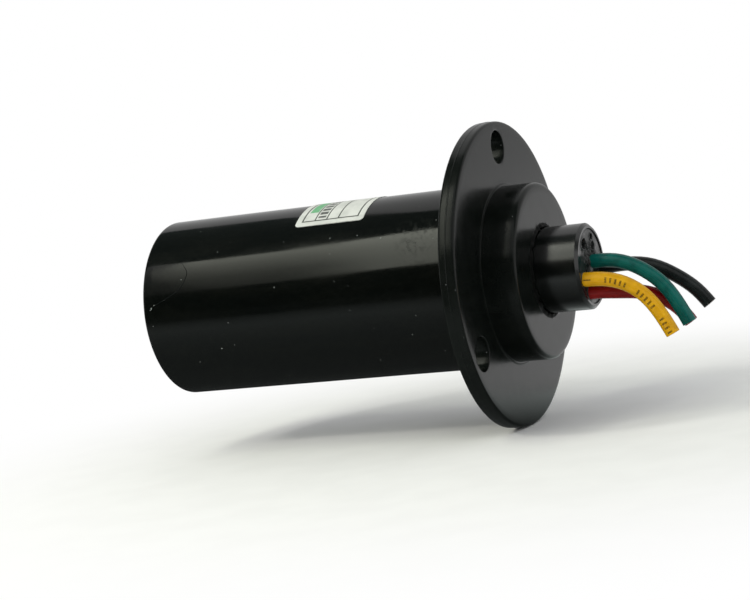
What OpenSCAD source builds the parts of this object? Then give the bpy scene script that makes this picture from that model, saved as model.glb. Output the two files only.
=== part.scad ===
// Capsule slip ring with a mounting flange: four circuits pass from leads in a
// turning hub, through a stack of contact rings, to wire brushes in the barrel.
// The axis of rotation is X, from the closed rear end to the hub and its leads.
// The origin lies on that axis, in the rear face of the flange. All sizes are mm.

/* [Barrel] */
// Outside diameter of the barrel
barrel_d = 30; // [29:0.5:40]
// Length of the barrel behind the flange
barrel_len = 58.95; // [55:0.05:80]
// Wall of the barrel
barrel_wall = 2; // [1.6:0.1:2.4]
// Rounding of the barrel's rear edge
barrel_round = 1.2; // [0.4:0.1:1.8]
// How deep the rear cap is set into the barrel
cap_inset = 0.4; // [0:0.1:1]
// Thickness of the rear cap's disc
cap_t = 2.4; // [1.8:0.1:3.2]
// Diameter of the lead holes in the rear cap
cap_hole_d = 2.3; // [1.2:0.1:2.4]

/* [Flange and boss] */
// Diameter of the mounting flange
flange_d = 50; // [49:1:64]
// Thickness of the mounting flange
flange_t = 2.75; // [2:0.05:4]
// Rounding of the flange rim
flange_round = 0.5; // [0.1:0.05:0.8]
// Diameter of the bolt circle
bolt_circle_d = 41.5; // [38:0.5:43]
// Diameter of the bolt holes
bolt_hole_d = 5.4; // [3:0.1:5.6]
// Number of bolt holes, the first of them straight up
bolt_count = 3; // [3:1:6]
// Diameter of the boss in front of the flange
boss_d = 28.7; // [27:0.1:33]
// Height of the boss above the flange
boss_h = 5.7; // [5.2:0.1:9]
// Rounding of the boss edge
boss_round = 0.8; // [0.2:0.1:1.2]
// Fillet at the foot of the boss
boss_fillet = 0.4; // [0.1:0.1:0.8]
// Thickness of the lip that covers the front bearing
lip_t = 2.25; // [2:0.05:3]
// Length of the spigot that enters the barrel
spigot_len = 6; // [4:0.5:9]

/* [Hub] */
// Diameter of the turning hub
hub_d = 13.9; // [13.5:0.1:17]
// How far the hub stands out of the boss
hub_len = 7.6; // [6:0.1:12]
// Bevel at the end of the hub
hub_bevel = 0.5; // [0.2:0.1:0.7]
// Wall of the hub round the leads
hub_wall = 0.85; // [0.7:0.05:1]
// Thickness of the plug that the leads pass through
plug_t = 2.4; // [1.5:0.1:3]
// Diameter of a lead over its insulation
lead_d = 2.3; // [1.2:0.1:2.5]

/* [Front bearing] */
// Bore of the front bearing
front_bore_d = 12; // [11:0.5:12.5]
// Outside diameter of the front bearing
front_bearing_d = 21; // [20:0.5:22]
// Width of the front bearing
front_bearing_w = 5; // [4.5:0.1:5.5]
// Diameter of the front bearing's balls
front_ball_d = 2.38; // [2:0.01:2.6]
// Number of balls in the front bearing
front_ball_count = 10; // [7:1:12]

/* [Rear bearing] */
// Bore of the rear bearing
rear_bore_d = 8; // [7:0.5:8.5]
// Outside diameter of the rear bearing
rear_bearing_d = 16; // [15:0.5:17]
// Width of the rear bearing
rear_bearing_w = 5; // [4:0.1:6]
// Diameter of the rear bearing's balls
rear_ball_d = 2; // [1.5:0.05:2.2]
// Number of balls in the rear bearing
rear_ball_count = 9; // [7:1:10]

/* [Ring stack] */
// Diameter of the core that carries the rings
core_d = 9; // [9:0.1:10]
// Outside diameter of a contact ring
ring_d = 12.4; // [12:0.1:14.8]
// Width of a contact ring
ring_w = 4.2; // [3.5:0.1:5.2]
// Depth of the two V grooves in a contact ring
groove_depth = 0.5; // [0.3:0.05:0.7]
// Distance between the two grooves of a ring
groove_pitch = 2; // [1.6:0.1:2.4]
// Diameter of the insulating barriers between the rings
barrier_d = 14.8; // [13:0.1:15.5]
// Width of an insulating barrier
barrier_w = 2; // [1.2:0.1:2.6]
// Thickness of the washer that clamps the stack
washer_t = 0.8; // [0.5:0.1:1.2]
// Thickness of the nut that clamps the stack
nut_t = 3.2; // [2.5:0.1:4]
// Width of the nut across its flats
nut_af = 13; // [12:0.5:15]
// Diameter of the terminal rods in the core
rod_d = 1.4; // [1:0.1:1.5]

/* [Brushes] */
// Diameter of a brush wire
wire_d = 0.5; // [0.3:0.05:0.6]
// How far the circuit board reaches past the outer side of the wires
board_margin = 1.15; // [0.8:0.05:1.8]
// Thickness of the circuit board
board_t = 1; // [0.8:0.1:1.2]
// Length of the frame's front and rear rings
frame_ring_t = 2.5; // [2:0.1:4]
// Radial thickness of the frame
frame_wall = 2.3; // [2:0.1:2.6]

/* [Label] */
// Size of the label along the barrel
label_len = 12.5; // [8:0.5:20]
// Size of the label round the barrel
label_arc = 22; // [12:0.5:30]
// Distance from the flange to the middle of the label
label_back = 25; // [18:0.5:40]
// Turn of the label's middle from straight up, to the viewer's side
label_turn = -5.5; // [-40:0.5:40]

/* [Hidden] */

$fn = 96;
wire_fn = 24;
eps = 0.01;
circuits = 4;

// clearances, each measured on the radius or on one face
run_gap = 0.1;
slip_gap = 0.05;
touch_gap = 0.02;
ball_gap = 0.05;
hub_gap = 0.4;
race_gap = 0.3;

// barrel, spigot and rear cap
barrel_r = barrel_d / 2;
bore_r = barrel_r - barrel_wall;
rear_x = -barrel_len;
cap_x = rear_x + cap_inset;
cap_floor_x = cap_x + cap_t;
cap_wall = 1.3;
cap_pocket_depth = 1;
skirt_t = 1.1;
skirt_len = 7.2;

// flange housing
boss_top = flange_t + boss_h;
seat_end_x = boss_top - lip_t;
lip_r = hub_d / 2 + hub_gap;
seal_r = hub_d / 2 + 1.65;
seal_depth = 1.4;
seal_rise = 0.55;
circlip_t = 1;
circlip_grip = 0.7;
circlip_w = 1.6;

// bearings: the races' middle planes, ball circles and land radii
race_land = 0.76;
front_x = seat_end_x - front_bearing_w / 2;
front_race_x = seat_end_x - front_bearing_w;
front_pitch_r = (front_bore_d + front_bearing_d) / 4;
front_land_r = front_pitch_r + front_ball_d * race_land / 2;
// the lip stands off the turning race by this much
relief = 0.3;
wave_h = 0.7;
wave_t = 0.3;
wave_count = 3;
rear_race_x = cap_floor_x + wave_h;
rear_x_mid = rear_race_x + rear_bearing_w / 2;
rear_race_front_x = rear_race_x + rear_bearing_w;
rear_pitch_r = (rear_bore_d + rear_bearing_d) / 4;

// rotor shaft
hub_r = hub_d / 2;
hub_end_x = boss_top + hub_len;
core_r = core_d / 2;
journal_step = 0.2;
clip_t = 0.6;
clip_grip = 0.6;
clip_w = 1.5;
clip_mouth = 70;
shaft_end_x = rear_race_x - clip_t - 0.6;
web_t = 1.5;
cavity_x = front_race_x + journal_step + web_t;
cavity_r = hub_r - hub_wall;
throat_r = front_bore_d / 2 - 1.2;
throat_x = seat_end_x + 1.3;
plug_sink = 0.15;
plug_x = hub_end_x - plug_sink;
// unused holes in the plug: place (y, z) and diameter
spare_holes = [[-2.4, 3.8, 1.4], [1.7, 3.1, 1.2], [1.5, 4.6, 0.8]];
spare_depth = 1.2;

// ring stack
spigot_x = -spigot_len;
frame_x = spigot_x;
stack_gap = 2.5;
stack_x = frame_x - frame_ring_t - stack_gap;
stack_pitch = ring_w + barrier_w;
stack_end_x = stack_x - barrier_w - circuits * stack_pitch;
barrier_chamfer = 0.3;
nut_x = stack_end_x - washer_t - nut_t;
function ring_x(i) = stack_x - barrier_w - ring_w / 2 - (i - 1) * stack_pitch;
function barrier_x(i) = stack_x - barrier_w - (i - 1) * stack_pitch;

// terminal rods, each in its own slot of the core
rod_r = rod_d / 2;
rod_circle_r = 2.9;
rod_slot = rod_d + 0.2;
cup_d = 2.6;
cup_bore_d = 1.6;
cup_len = 1.7;
cup_x = cavity_x + 0.6;
function rod_turn(i) = 45 + 90 * (i - 1);

// brush unit
frame_r = bore_r - run_gap;
frame_in_r = frame_r - frame_wall;
frame_end_x = cap_floor_x + skirt_len;
board_edge_gap = 0.5;
slot_gap = 0.1;
slot_seat = 0.3;
lip_over = 0.7;
wire_r = wire_d / 2;
wire_seat = ring_d / 2 - groove_depth + wire_r * sqrt(2);
wire_y = wire_seat + slip_gap;
board_w = 2 * (wire_y + wire_r + board_margin);
board_low_z = -sqrt(pow(frame_r - board_edge_gap, 2) - pow(board_w / 2, 2));
rail_gap = 0.3;
rail_from = atan2(wire_y + wire_r + rail_gap, -board_low_z);
rail_to = rail_from + 30;
board_top_z = board_low_z + board_t;
board_x = frame_x - frame_ring_t + slot_seat - run_gap;
board_end_x = frame_end_x + run_gap;
wire_top_z = 2;
wire_bend = 0.6;
bend_steps = 4;
wire_low_z = board_low_z - wire_r - slip_gap;
screw_r = 0.7;
screw_head_r = 1.1;
screw_head_t = 0.9;
screw_len = 5.5;
screw_circle_r = (front_bearing_d / 2 + bore_r) / 2;
screw_turns = [0, 80, -80];
pin_r = 0.5;
pin_collar_r = 0.9;
pin_collar_t = 0.5;
pin_rise = 2.4;
pin_pitch = 3;
pin_x = frame_end_x + frame_ring_t + pin_collar_r + run_gap;

// label
label_t = 0.08;
label_round = 1;

// leads and wires are swept with this many sides
sweep_sides = 8;

// lead routes, from the solder cups through the plug to the cut ends
route_green = [
    [3.5, -2.05, 2.05], [7, -2.05, 2.05], [12.8, 0.3, 0.7], [16.5, 0.3, 0.7], [20.2, 0.3, 0.4],
    [24.1, 0.3, -1.3], [27.3, 0.3, -4.1], [29.4, 0.3, -7.5], [30.8, 0.3, -10.5]
];
route_yellow = [
    [3.5, -2.05, -2.05], [7, -2.05, -2.05], [12.8, -4.4, -1.7], [16.5, -4.4, -1.7], [20.3, -4.3, -2.1],
    [24, -4.2, -3.8], [26.7, -4.1, -6.7], [28.3, -4, -9.6], [29.2, -4, -11.5]
];
route_red = [
    [3.5, 2.05, -2.05], [6, 2.05, -2.05], [12.8, -2.2, -4], [16.5, -2.2, -4], [20.4, -1, -4.4],
    [23.9, 0.8, -5.1], [27.2, 2.7, -7.1], [29.2, 3.4, -9.3], [30.1, 3.6, -10.8]
];
route_black = [
    [3.5, 2.05, 2.05], [7, 2.05, 2.05], [12.8, 4.2, -0.9], [16.5, 4.2, -0.8], [20.5, 4.3, -0.6],
    [24.6, 4.5, -1.3], [28.4, 4.7, -3.4], [31.2, 4.9, -5.8], [33.1, 5, -8.3]
];

housing_black = "#202224";
barrel_black = "#141618";
bearing_steel = "#c4c8cc";
ring_gold = "#d2a541";
board_green = "#1d5a38";

// ---------- helpers ----------

// Turns a shape that was drawn along Z so that it runs along X, from x.
module along_x(x = 0) {
    translate([x, 0, 0]) rotate([0, 90, 0]) children();
}

// A rectangle of the (radius, x) half section.
module band(r_in, r_out, x0, x1) {
    translate([r_in, x0]) square([r_out - r_in, x1 - x0]);
}

// A square corner with its round taken out. It cuts a round where it is
// subtracted and makes a fillet where it is added. The point p is the corner,
// and into points from it to the centre of the round.
module corner(p, into, r) {
    c = p + into * r;
    q = p - into * eps;
    difference() {
        translate([min(c.x, q.x), min(c.y, q.y)]) square(r + eps);
        translate(c) circle(r);
    }
}

// A 45 degree cut of leg c, at the point p, with into as above.
module bevel(p, into, c) {
    polygon([
        p - into * eps,
        [p.x + into.x * c, p.y - into.y * eps],
        [p.x - into.x * eps, p.y + into.y * c]
    ]);
}

// A turned part: spins a (radius, x) half section about the X axis.
module turned() {
    along_x() rotate_extrude() children();
}

module washer(x0, x1, r_out, r_in) {
    turned() band(r_in, r_out, x0, x1);
}

// Copies a piece that stands at straight up to each turn about the X axis.
module around(turns) {
    for (a = turns) rotate([a, 0, 0]) children();
}

function unit(v) = v / norm(v);
function heading(p, i) = unit(p[min(i + 1, len(p) - 1)] - p[max(i - 1, 0)]);

// The corners of a round section at point i of a route. The direction side is
// one that the route never runs along.
function hoop(p, i, d, side) = let (t = heading(p, i), u = unit(cross(side, t)), v = cross(t, u))
    [for (k = [0:sweep_sides - 1]) let (a = 360 * k / sweep_sides)
        p[i] + d / 2 * (cos(a) * u + sin(a) * v)];

// A wire or lead: the round section carried along a route, with flat ends.
module sweep(route, d, side) {
    n = sweep_sides;
    last = len(route) - 1;
    points = [for (i = [0:last]) each hoop(route, i, d, side)];
    walls = [for (i = [0:last - 1], k = [0:n - 1]) let (m = (k + 1) % n)
        [n * i + k, n * i + m, n * i + n + m, n * i + n + k]];
    start = [[for (k = [n - 1:-1:0]) k]];
    end = [[for (k = [0:n - 1]) n * last + k]];
    polyhedron(points, concat(walls, start, end), convexity = 4);
}

// ---------- housing ----------

module barrel_tube() {
    color(barrel_black) turned() difference() {
        band(bore_r, barrel_r, rear_x, 0);
        corner([barrel_r, rear_x], [-1, 1], barrel_round);
        bevel([bore_r, rear_x], [1, 1], cap_inset);
    }
}

// The cap seats the rear bearing, its skirt pushes on the brush frame, and the
// stator leads leave through the holes between the two.
module rear_cap() {
    seat_r = rear_bearing_d / 2;
    hole_circle_r = (seat_r + cap_wall + bore_r - skirt_t) / 2;
    color(housing_black) difference() {
        turned() difference() {
            band(0, bore_r, cap_x, frame_end_x);
            band(seat_r + cap_wall, bore_r - skirt_t, cap_floor_x, frame_end_x + eps);
            band(0, seat_r + cap_wall + eps, rear_race_front_x, frame_end_x + eps);
            band(0, seat_r, cap_floor_x, rear_race_front_x + eps);
            band(0, seat_r - 1.4, cap_floor_x - cap_pocket_depth, cap_floor_x + eps);
        }
        around([for (k = [0:circuits - 1]) 180 - 30 + 20 * k])
            translate([cap_x - eps, 0, hole_circle_r]) along_x()
                cylinder(d = cap_hole_d, h = cap_t + 2 * eps);
    }
}

module housing_section() {
    difference() {
        union() {
            band(0, flange_d / 2, 0, flange_t);
            band(0, boss_d / 2, 0, boss_top);
            band(0, bore_r, spigot_x, flange_t);
            corner([boss_d / 2, flange_t], [1, 1], boss_fillet);
        }
        corner([flange_d / 2, flange_t], [-1, -1], flange_round);
        corner([flange_d / 2, 0], [-1, 1], flange_round);
        corner([boss_d / 2, boss_top], [-1, -1], boss_round);
        bevel([bore_r, spigot_x], [-1, 1], 0.5);
        band(0, lip_r, spigot_x - eps, boss_top + eps);
        band(0, front_bearing_d / 2, spigot_x - eps, seat_end_x);
        band(0, front_land_r, seat_end_x - eps, seat_end_x + relief);
        band(0, seal_r, boss_top - seal_depth, boss_top + eps);
        band(0, front_bearing_d / 2 + circlip_grip, front_race_x - circlip_t, front_race_x);
    }
}

module flange_housing() {
    color(housing_black) difference() {
        turned() housing_section();
        around([for (k = [0:bolt_count - 1]) 360 * k / bolt_count])
            translate([-eps, 0, bolt_circle_d / 2]) along_x()
                cylinder(d = bolt_hole_d, h = flange_t + 2 * eps);
        around(screw_turns)
            translate([spigot_x - eps, 0, screw_circle_r]) along_x()
                cylinder(r = screw_r, h = screw_len - frame_ring_t + slip_gap);
    }
}

// Soft ring in the boss, with a lip that nearly touches the turning hub.
module dust_seal() {
    color("#101112") turned() polygon([
        [hub_r + run_gap, boss_top - seal_depth],
        [seal_r, boss_top - seal_depth],
        [seal_r, boss_top],
        [seal_r - 0.35, boss_top + seal_rise * 0.6],
        [hub_r + 0.5, boss_top + seal_rise],
        [hub_r + run_gap, boss_top + seal_rise * 0.8]
    ]);
}

module id_label() {
    mid_turn = label_turn;
    color("#e6e8e4") rotate([mid_turn, 0, 0]) intersection() {
        washer(-label_back - label_len, -label_back + label_len, barrel_r + label_t, barrel_r);
        translate([-label_back, 0, 0]) linear_extrude(barrel_r + 1) label_outline();
    }
}

// Rounded rectangle that the label covers when it is seen from straight above.
module label_outline() {
    half_w = barrel_r * sin(label_arc / barrel_r * 90 / PI);
    for (s = [-1, 1]) {
        translate([-label_len / 2 + label_round, -half_w])
            square([label_len - 2 * label_round, 2 * half_w]);
        translate([-label_len / 2, -half_w + label_round])
            square([label_len, 2 * half_w - 2 * label_round]);
        for (t = [-1, 1])
            translate([s * (label_len / 2 - label_round), t * (half_w - label_round)])
                circle(label_round);
    }
}

// ---------- bearings ----------

module race(x, w, r_in, r_out, pitch_r, ball_d) {
    color(bearing_steel) turned() difference() {
        band(r_in, r_out, x - w / 2, x + w / 2);
        translate([pitch_r, x]) circle(ball_d / 2 + ball_gap);
    }
}

module ball_set(x, pitch_r, ball_d, count) {
    color("#e2e4e6") around([for (k = [0:count - 1]) 360 * k / count])
        translate([x, 0, pitch_r]) sphere(d = ball_d);
}

// A thin ring with one round pocket for each ball.
module cage(x, w, pitch_r, ball_d, count) {
    half = ball_d * race_land / 2 - race_gap;
    color("#b08a3c") difference() {
        washer(x - w / 2, x + w / 2, pitch_r + half, pitch_r - half);
        around([for (k = [0:count - 1]) 360 * k / count])
            translate([x, 0, pitch_r - ball_d]) cylinder(d = ball_d + 2 * ball_gap, h = 2 * ball_d);
    }
}

module front_outer_race() {
    race(front_x, front_bearing_w, front_land_r, front_bearing_d / 2, front_pitch_r, front_ball_d);
}

module front_inner_race() {
    land_r = front_pitch_r - front_ball_d * race_land / 2;
    race(front_x, front_bearing_w, front_bore_d / 2, land_r, front_pitch_r, front_ball_d);
}

module front_cage() {
    cage(front_x, front_ball_d + 1.1, front_pitch_r, front_ball_d, front_ball_count);
}

module front_balls() {
    ball_set(front_x, front_pitch_r, front_ball_d, front_ball_count);
}

module rear_outer_race() {
    land_r = rear_pitch_r + rear_ball_d * race_land / 2;
    race(rear_x_mid, rear_bearing_w, land_r, rear_bearing_d / 2, rear_pitch_r, rear_ball_d);
}

module rear_inner_race() {
    land_r = rear_pitch_r - rear_ball_d * race_land / 2;
    race(rear_x_mid, rear_bearing_w, rear_bore_d / 2, land_r, rear_pitch_r, rear_ball_d);
}

module rear_cage() {
    cage(rear_x_mid, rear_ball_d + 1, rear_pitch_r, rear_ball_d, rear_ball_count);
}

module rear_balls() {
    ball_set(rear_x_mid, rear_pitch_r, rear_ball_d, rear_ball_count);
}

// Open ring in the housing's groove, with an ear and a plier hole at each end.
module front_circlip() {
    out_r = front_bearing_d / 2 + circlip_grip;
    in_r = out_r - circlip_w;
    mouth = 24;
    ear_r = 1.25;
    x = front_race_x - circlip_t;
    color("#6c7074") difference() {
        union() {
            along_x() rotate([0, 0, mouth / 2]) rotate_extrude(angle = 360 - mouth)
                band(in_r, out_r, x, x + circlip_t);
            around([180 + mouth / 2 + 3, 180 - mouth / 2 - 3])
                translate([x, 0, in_r]) along_x() cylinder(r = ear_r, h = circlip_t);
        }
        around([180 + mouth / 2 + 3, 180 - mouth / 2 - 3])
            translate([x - eps, 0, in_r - 0.15]) along_x()
                cylinder(d = 1, h = circlip_t + 2 * eps, $fn = wire_fn);
    }
}

// Waved spring ring that takes up the rear bearing's end play.
module wave_washer() {
    in_r = rear_bearing_d / 2 - 1.3;
    out_r = rear_bearing_d / 2 - run_gap;
    steps = 48;
    lift = wave_h - wave_t - 2 * touch_gap;
    base_x = cap_floor_x + touch_gap;
    function wave_at(a) = base_x + lift * (1 - cos(wave_count * a)) / 2;
    pts = [for (k = [0:steps - 1]) let (a = 360 * k / steps, x = wave_at(a))
        for (q = [[in_r, 0], [out_r, 0], [out_r, wave_t], [in_r, wave_t]])
            [x + q[1], q[0] * cos(a), q[0] * sin(a)]];
    color("#8f9498") polyhedron(pts, [for (k = [0:steps - 1], j = [0:3])
        let (n = (k + 1) % steps, m = (j + 1) % 4)
            each [[4 * k + j, 4 * n + j, 4 * n + m], [4 * k + j, 4 * n + m, 4 * k + m]]]);
}

// Open clip behind the rear inner race, in the groove of the shaft.
module rear_clip() {
    in_r = rear_bore_d / 2 - clip_grip;
    color("#6c7074") along_x() rotate([0, 0, clip_mouth / 2]) rotate_extrude(angle = 360 - clip_mouth)
        band(in_r, in_r + clip_w, rear_race_x - clip_t, rear_race_x);
}

// ---------- brush unit ----------

// A window in the frame's tube between two turns from straight down.
module frame_window(from, to) {
    along_x() rotate([0, 0, from]) rotate_extrude(angle = to - from)
        band(frame_in_r - 1, frame_r + 1, frame_end_x + frame_ring_t, frame_x - frame_ring_t);
}

// A tube cut open to two end rings and two rails. The board slides into the
// rails from behind.
module brush_frame() {
    color("#3a3d40") difference() {
        washer(frame_end_x, frame_x, frame_r, frame_in_r);
        frame_window(rail_to, 360 - rail_to);
        frame_window(-rail_from, rail_from);
        board_slot();
        around(screw_turns)
            translate([frame_x - frame_ring_t - eps, 0, screw_circle_r]) along_x()
                cylinder(r = screw_r + slip_gap, h = frame_ring_t + 2 * eps);
    }
}

module board_slot() {
    open_w = board_w - 2 * lip_over;
    slot_w = board_w + 2 * slot_gap;
    len = frame_x - frame_ring_t + slot_seat - frame_end_x + eps;
    translate([frame_end_x - eps, -slot_w / 2, board_low_z])
        cube([len, slot_w, board_t + slot_gap]);
    translate([frame_end_x - eps, -open_w / 2, board_low_z])
        cube([len, open_w, frame_r]);
}

// Screws through the frame's front ring into the spigot of the housing.
module frame_screws() {
    color("#a7abae") around(screw_turns) translate([frame_x - frame_ring_t, 0, screw_circle_r]) {
        along_x(-screw_head_t / 2) cylinder(r = screw_r, h = screw_head_t / 2 + screw_len - screw_r);
        along_x(screw_len - screw_r - eps) cylinder(r1 = screw_r, r2 = 0.1, h = screw_r);
        difference() {
            along_x(-screw_head_t) cylinder(r = screw_head_r, h = screw_head_t);
            translate([-screw_head_t - eps, -screw_head_r, -0.15])
                cube([0.4, 2 * screw_head_r, 0.3]);
        }
    }
}

module brush_board() {
    color(board_green) difference() {
        translate([board_end_x, -board_w / 2, board_low_z])
            cube([board_x - board_end_x, board_w, board_t]);
        for (i = [1:circuits], g = [-0.5, 0.5], s = [-1, 1])
            translate([ring_x(i) + g * groove_pitch, s * wire_y, board_low_z - eps])
                cylinder(r = wire_r + slip_gap, h = board_t + 2 * eps, $fn = wire_fn);
        for (k = [0:circuits - 1])
            translate([pin_x, (k - (circuits - 1) / 2) * pin_pitch, board_low_z - eps])
                cylinder(r = pin_r, h = board_t + 2 * eps, $fn = wire_fn);
    }
}

// Solder pins for the stator leads, each with a collar on the board.
module board_terminals() {
    color("#cfd2d4") for (k = [0:circuits - 1])
        translate([pin_x, (k - (circuits - 1) / 2) * pin_pitch, board_low_z - 0.4]) {
            cylinder(r = pin_r, h = board_t + pin_rise + 0.4, $fn = wire_fn);
            translate([0, 0, 0.4 + board_t])
                cylinder(r = pin_collar_r, h = pin_collar_t, $fn = wire_fn);
        }
}

// The middle line of a hairpin: two arms beside the ring, and a bent foot
// under the board.
function hairpin_route(x) = let (c = wire_y - wire_bend, z = wire_low_z + wire_bend) concat(
    [[x, -wire_y, wire_top_z]],
    [for (s = [-1, 1], k = [0:bend_steps]) let (a = (s < 0 ? 180 : 270) + 90 * k / bend_steps)
        [x, s * c + wire_bend * cos(a), z + wire_bend * sin(a)]],
    [[x, wire_y, wire_top_z]]
);

module brush(i) {
    color(ring_gold) for (g = [-0.5, 0.5])
        sweep(hairpin_route(ring_x(i) + g * groove_pitch), wire_d, [1, 0, 0]);
}

// ---------- rotor ----------

module shaft_section() {
    clip_in_r = rear_bore_d / 2 - clip_grip;
    difference() {
        union() {
            band(0, hub_r, seat_end_x, hub_end_x);
            band(0, front_bore_d / 2, front_race_x + journal_step, seat_end_x + eps);
            band(0, core_r, rear_race_front_x, front_race_x + journal_step + eps);
            band(0, rear_bore_d / 2, shaft_end_x, rear_race_front_x + eps);
        }
        bevel([hub_r, hub_end_x], [-1, -1], hub_bevel);
        bevel([rear_bore_d / 2, shaft_end_x], [-1, 1], 0.3);
        band(clip_in_r, rear_bore_d, rear_race_x - clip_t, rear_race_x);
        polygon([
            [0, cavity_x], [throat_r, cavity_x], [throat_r, throat_x],
            [cavity_r, throat_x + cavity_r - throat_r], [cavity_r, hub_end_x + eps], [0, hub_end_x + eps]
        ]);
    }
}

// One moulding: the hub, the front journal, the core with its rod slots, and
// the rear journal.
module rotor_shaft() {
    color(housing_black) difference() {
        turned() shaft_section();
        for (i = [1:circuits]) rotate([rod_turn(i), 0, 0]) {
            translate([ring_x(i) - rod_slot / 2, -rod_slot / 2, rod_circle_r - rod_slot / 2])
                cube([front_race_x + journal_step - ring_x(i) + rod_slot / 2, rod_slot, core_r]);
            translate([0, 0, rod_circle_r]) along_x(front_race_x)
                cylinder(d = rod_slot, h = cavity_x - front_race_x + eps);
            translate([0, 0, rod_circle_r]) along_x(cup_x - cup_len - touch_gap)
                cylinder(d = cup_d + 2 * slip_gap, h = cup_len);
        }
    }
}

// A rod from its solder cup in the hub to a bent end under its own ring.
module terminal_rod(i) {
    color("#c98f52") rotate([rod_turn(i), 0, 0]) {
        translate([0, 0, rod_circle_r]) along_x(ring_x(i)) cylinder(r = rod_r, h = cup_x - cup_len - ring_x(i) + eps);
        translate([ring_x(i), 0, rod_circle_r]) sphere(r = rod_r);
        intersection() {
            translate([ring_x(i), 0, rod_circle_r]) cylinder(r = rod_r, h = core_r);
            along_x(ring_x(i) - rod_d) cylinder(r = core_r, h = 2 * rod_d);
        }
        translate([0, 0, rod_circle_r]) along_x(cup_x - cup_len) difference() {
            cylinder(d = cup_d, h = cup_len);
            translate([0, 0, cup_len / 3]) cylinder(d = cup_bore_d, h = cup_len);
        }
    }
}

module front_spacer() {
    color("#3a3d40") washer(stack_x, front_race_x, front_bore_d / 2 + 1, core_r);
}

// A gold-plated ring with two V grooves for its brush wires.
module contact_ring(i) {
    color(ring_gold) turned() difference() {
        band(core_r, ring_d / 2, ring_x(i) - ring_w / 2, ring_x(i) + ring_w / 2);
        for (g = [-0.5, 0.5]) translate([ring_d / 2, ring_x(i) + g * groove_pitch])
            polygon([[-groove_depth, 0], [eps, groove_depth + eps], [eps, -groove_depth - eps]]);
    }
}

module ring_barrier(i) {
    x0 = barrier_x(i);
    color("#b9b3a2") turned() difference() {
        band(core_r, barrier_d / 2, x0, x0 + barrier_w);
        bevel([barrier_d / 2, x0], [-1, 1], barrier_chamfer);
        bevel([barrier_d / 2, x0 + barrier_w], [-1, -1], barrier_chamfer);
    }
}

module clamp_washer() {
    color(bearing_steel) washer(stack_end_x - washer_t, stack_end_x, nut_af / 2 + 0.8, core_r);
}

// Hexagon nut whose corners are turned down to a chamfer.
module clamp_nut() {
    corner_r = nut_af / 2 / cos(30);
    color(bearing_steel) difference() {
        intersection() {
            along_x(nut_x) cylinder(r = corner_r, h = nut_t, $fn = 6);
            along_x(nut_x) cylinder(r1 = nut_af / 2 - 0.2, r2 = nut_af / 2 - 0.2 + nut_t * 2, h = nut_t);
        }
        along_x(nut_x - eps) cylinder(r = core_r, h = nut_t + 2 * eps);
    }
}

// Round plug in the end of the hub, with a hole for each lead and three that
// are not used.
module lead_plug() {
    color("#34373a") difference() {
        along_x(plug_x - plug_t) cylinder(r = cavity_r, h = plug_t);
        for (route = [route_green, route_yellow, route_red, route_black])
            translate([plug_x - plug_t - eps, route[3].y, route[3].z]) along_x()
                cylinder(d = lead_d + 2 * slip_gap, h = plug_t + 2 * eps, $fn = 32);
        for (h = spare_holes)
            translate([plug_x - spare_depth, h[0], h[1]]) along_x()
                cylinder(d = h[2], h = spare_depth + eps, $fn = wire_fn);
    }
}

// ---------- leads ----------

module lead_green() { color("#0c5a4c") sweep(route_green, lead_d, [0, 1, 0]); }
module lead_yellow() { color("#e8b80c") sweep(route_yellow, lead_d, [0, 1, 0]); }
module lead_red() { color("#8a1515") sweep(route_red, lead_d, [0, 1, 0]); }
module lead_black() { color("#1c1e20") sweep(route_black, lead_d, [0, 1, 0]); }

// ---------- the nodes ----------

barrel_tube();
rear_cap();
flange_housing();
dust_seal();
id_label();
front_outer_race();
front_inner_race();
front_cage();
front_balls();
front_circlip();
rear_outer_race();
rear_inner_race();
rear_cage();
rear_balls();
wave_washer();
rear_clip();
brush_frame();
frame_screws();
brush_board();
board_terminals();
brush(1);  // brush_1
brush(2);  // brush_2
brush(3);  // brush_3
brush(4);  // brush_4
rotor_shaft();
front_spacer();
clamp_washer();
clamp_nut();
lead_plug();
contact_ring(1);  // contact_ring_1
contact_ring(2);  // contact_ring_2
contact_ring(3);  // contact_ring_3
contact_ring(4);  // contact_ring_4
ring_barrier(1);  // ring_barrier_1
ring_barrier(2);  // ring_barrier_2
ring_barrier(3);  // ring_barrier_3
ring_barrier(4);  // ring_barrier_4
ring_barrier(5);  // ring_barrier_5
terminal_rod(1);  // terminal_rod_1
terminal_rod(2);  // terminal_rod_2
terminal_rod(3);  // terminal_rod_3
terminal_rod(4);  // terminal_rod_4
lead_green();
lead_yellow();
lead_red();
lead_black();
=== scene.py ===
"""Looks of a capsule slip ring: camera, studio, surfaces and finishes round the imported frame."""
import logging
import math
from dataclasses import dataclass
from enum import Enum

import bpy
import numpy as np
from mathutils import Matrix, Vector


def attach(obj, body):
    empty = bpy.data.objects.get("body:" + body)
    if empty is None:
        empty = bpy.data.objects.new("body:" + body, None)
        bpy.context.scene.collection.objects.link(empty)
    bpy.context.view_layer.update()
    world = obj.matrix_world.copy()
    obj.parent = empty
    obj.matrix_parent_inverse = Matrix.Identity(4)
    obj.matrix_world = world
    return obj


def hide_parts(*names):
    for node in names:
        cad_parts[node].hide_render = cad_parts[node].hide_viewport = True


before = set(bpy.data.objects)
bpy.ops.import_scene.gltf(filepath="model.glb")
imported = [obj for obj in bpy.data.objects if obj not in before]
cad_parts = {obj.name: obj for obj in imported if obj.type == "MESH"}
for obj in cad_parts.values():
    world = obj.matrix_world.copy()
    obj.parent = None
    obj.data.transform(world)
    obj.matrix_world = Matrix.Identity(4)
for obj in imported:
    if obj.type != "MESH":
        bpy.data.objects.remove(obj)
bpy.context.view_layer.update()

MM = 0.001
FULL_TURN = 2 * np.pi
SURFACE_UV = "surface"
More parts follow.
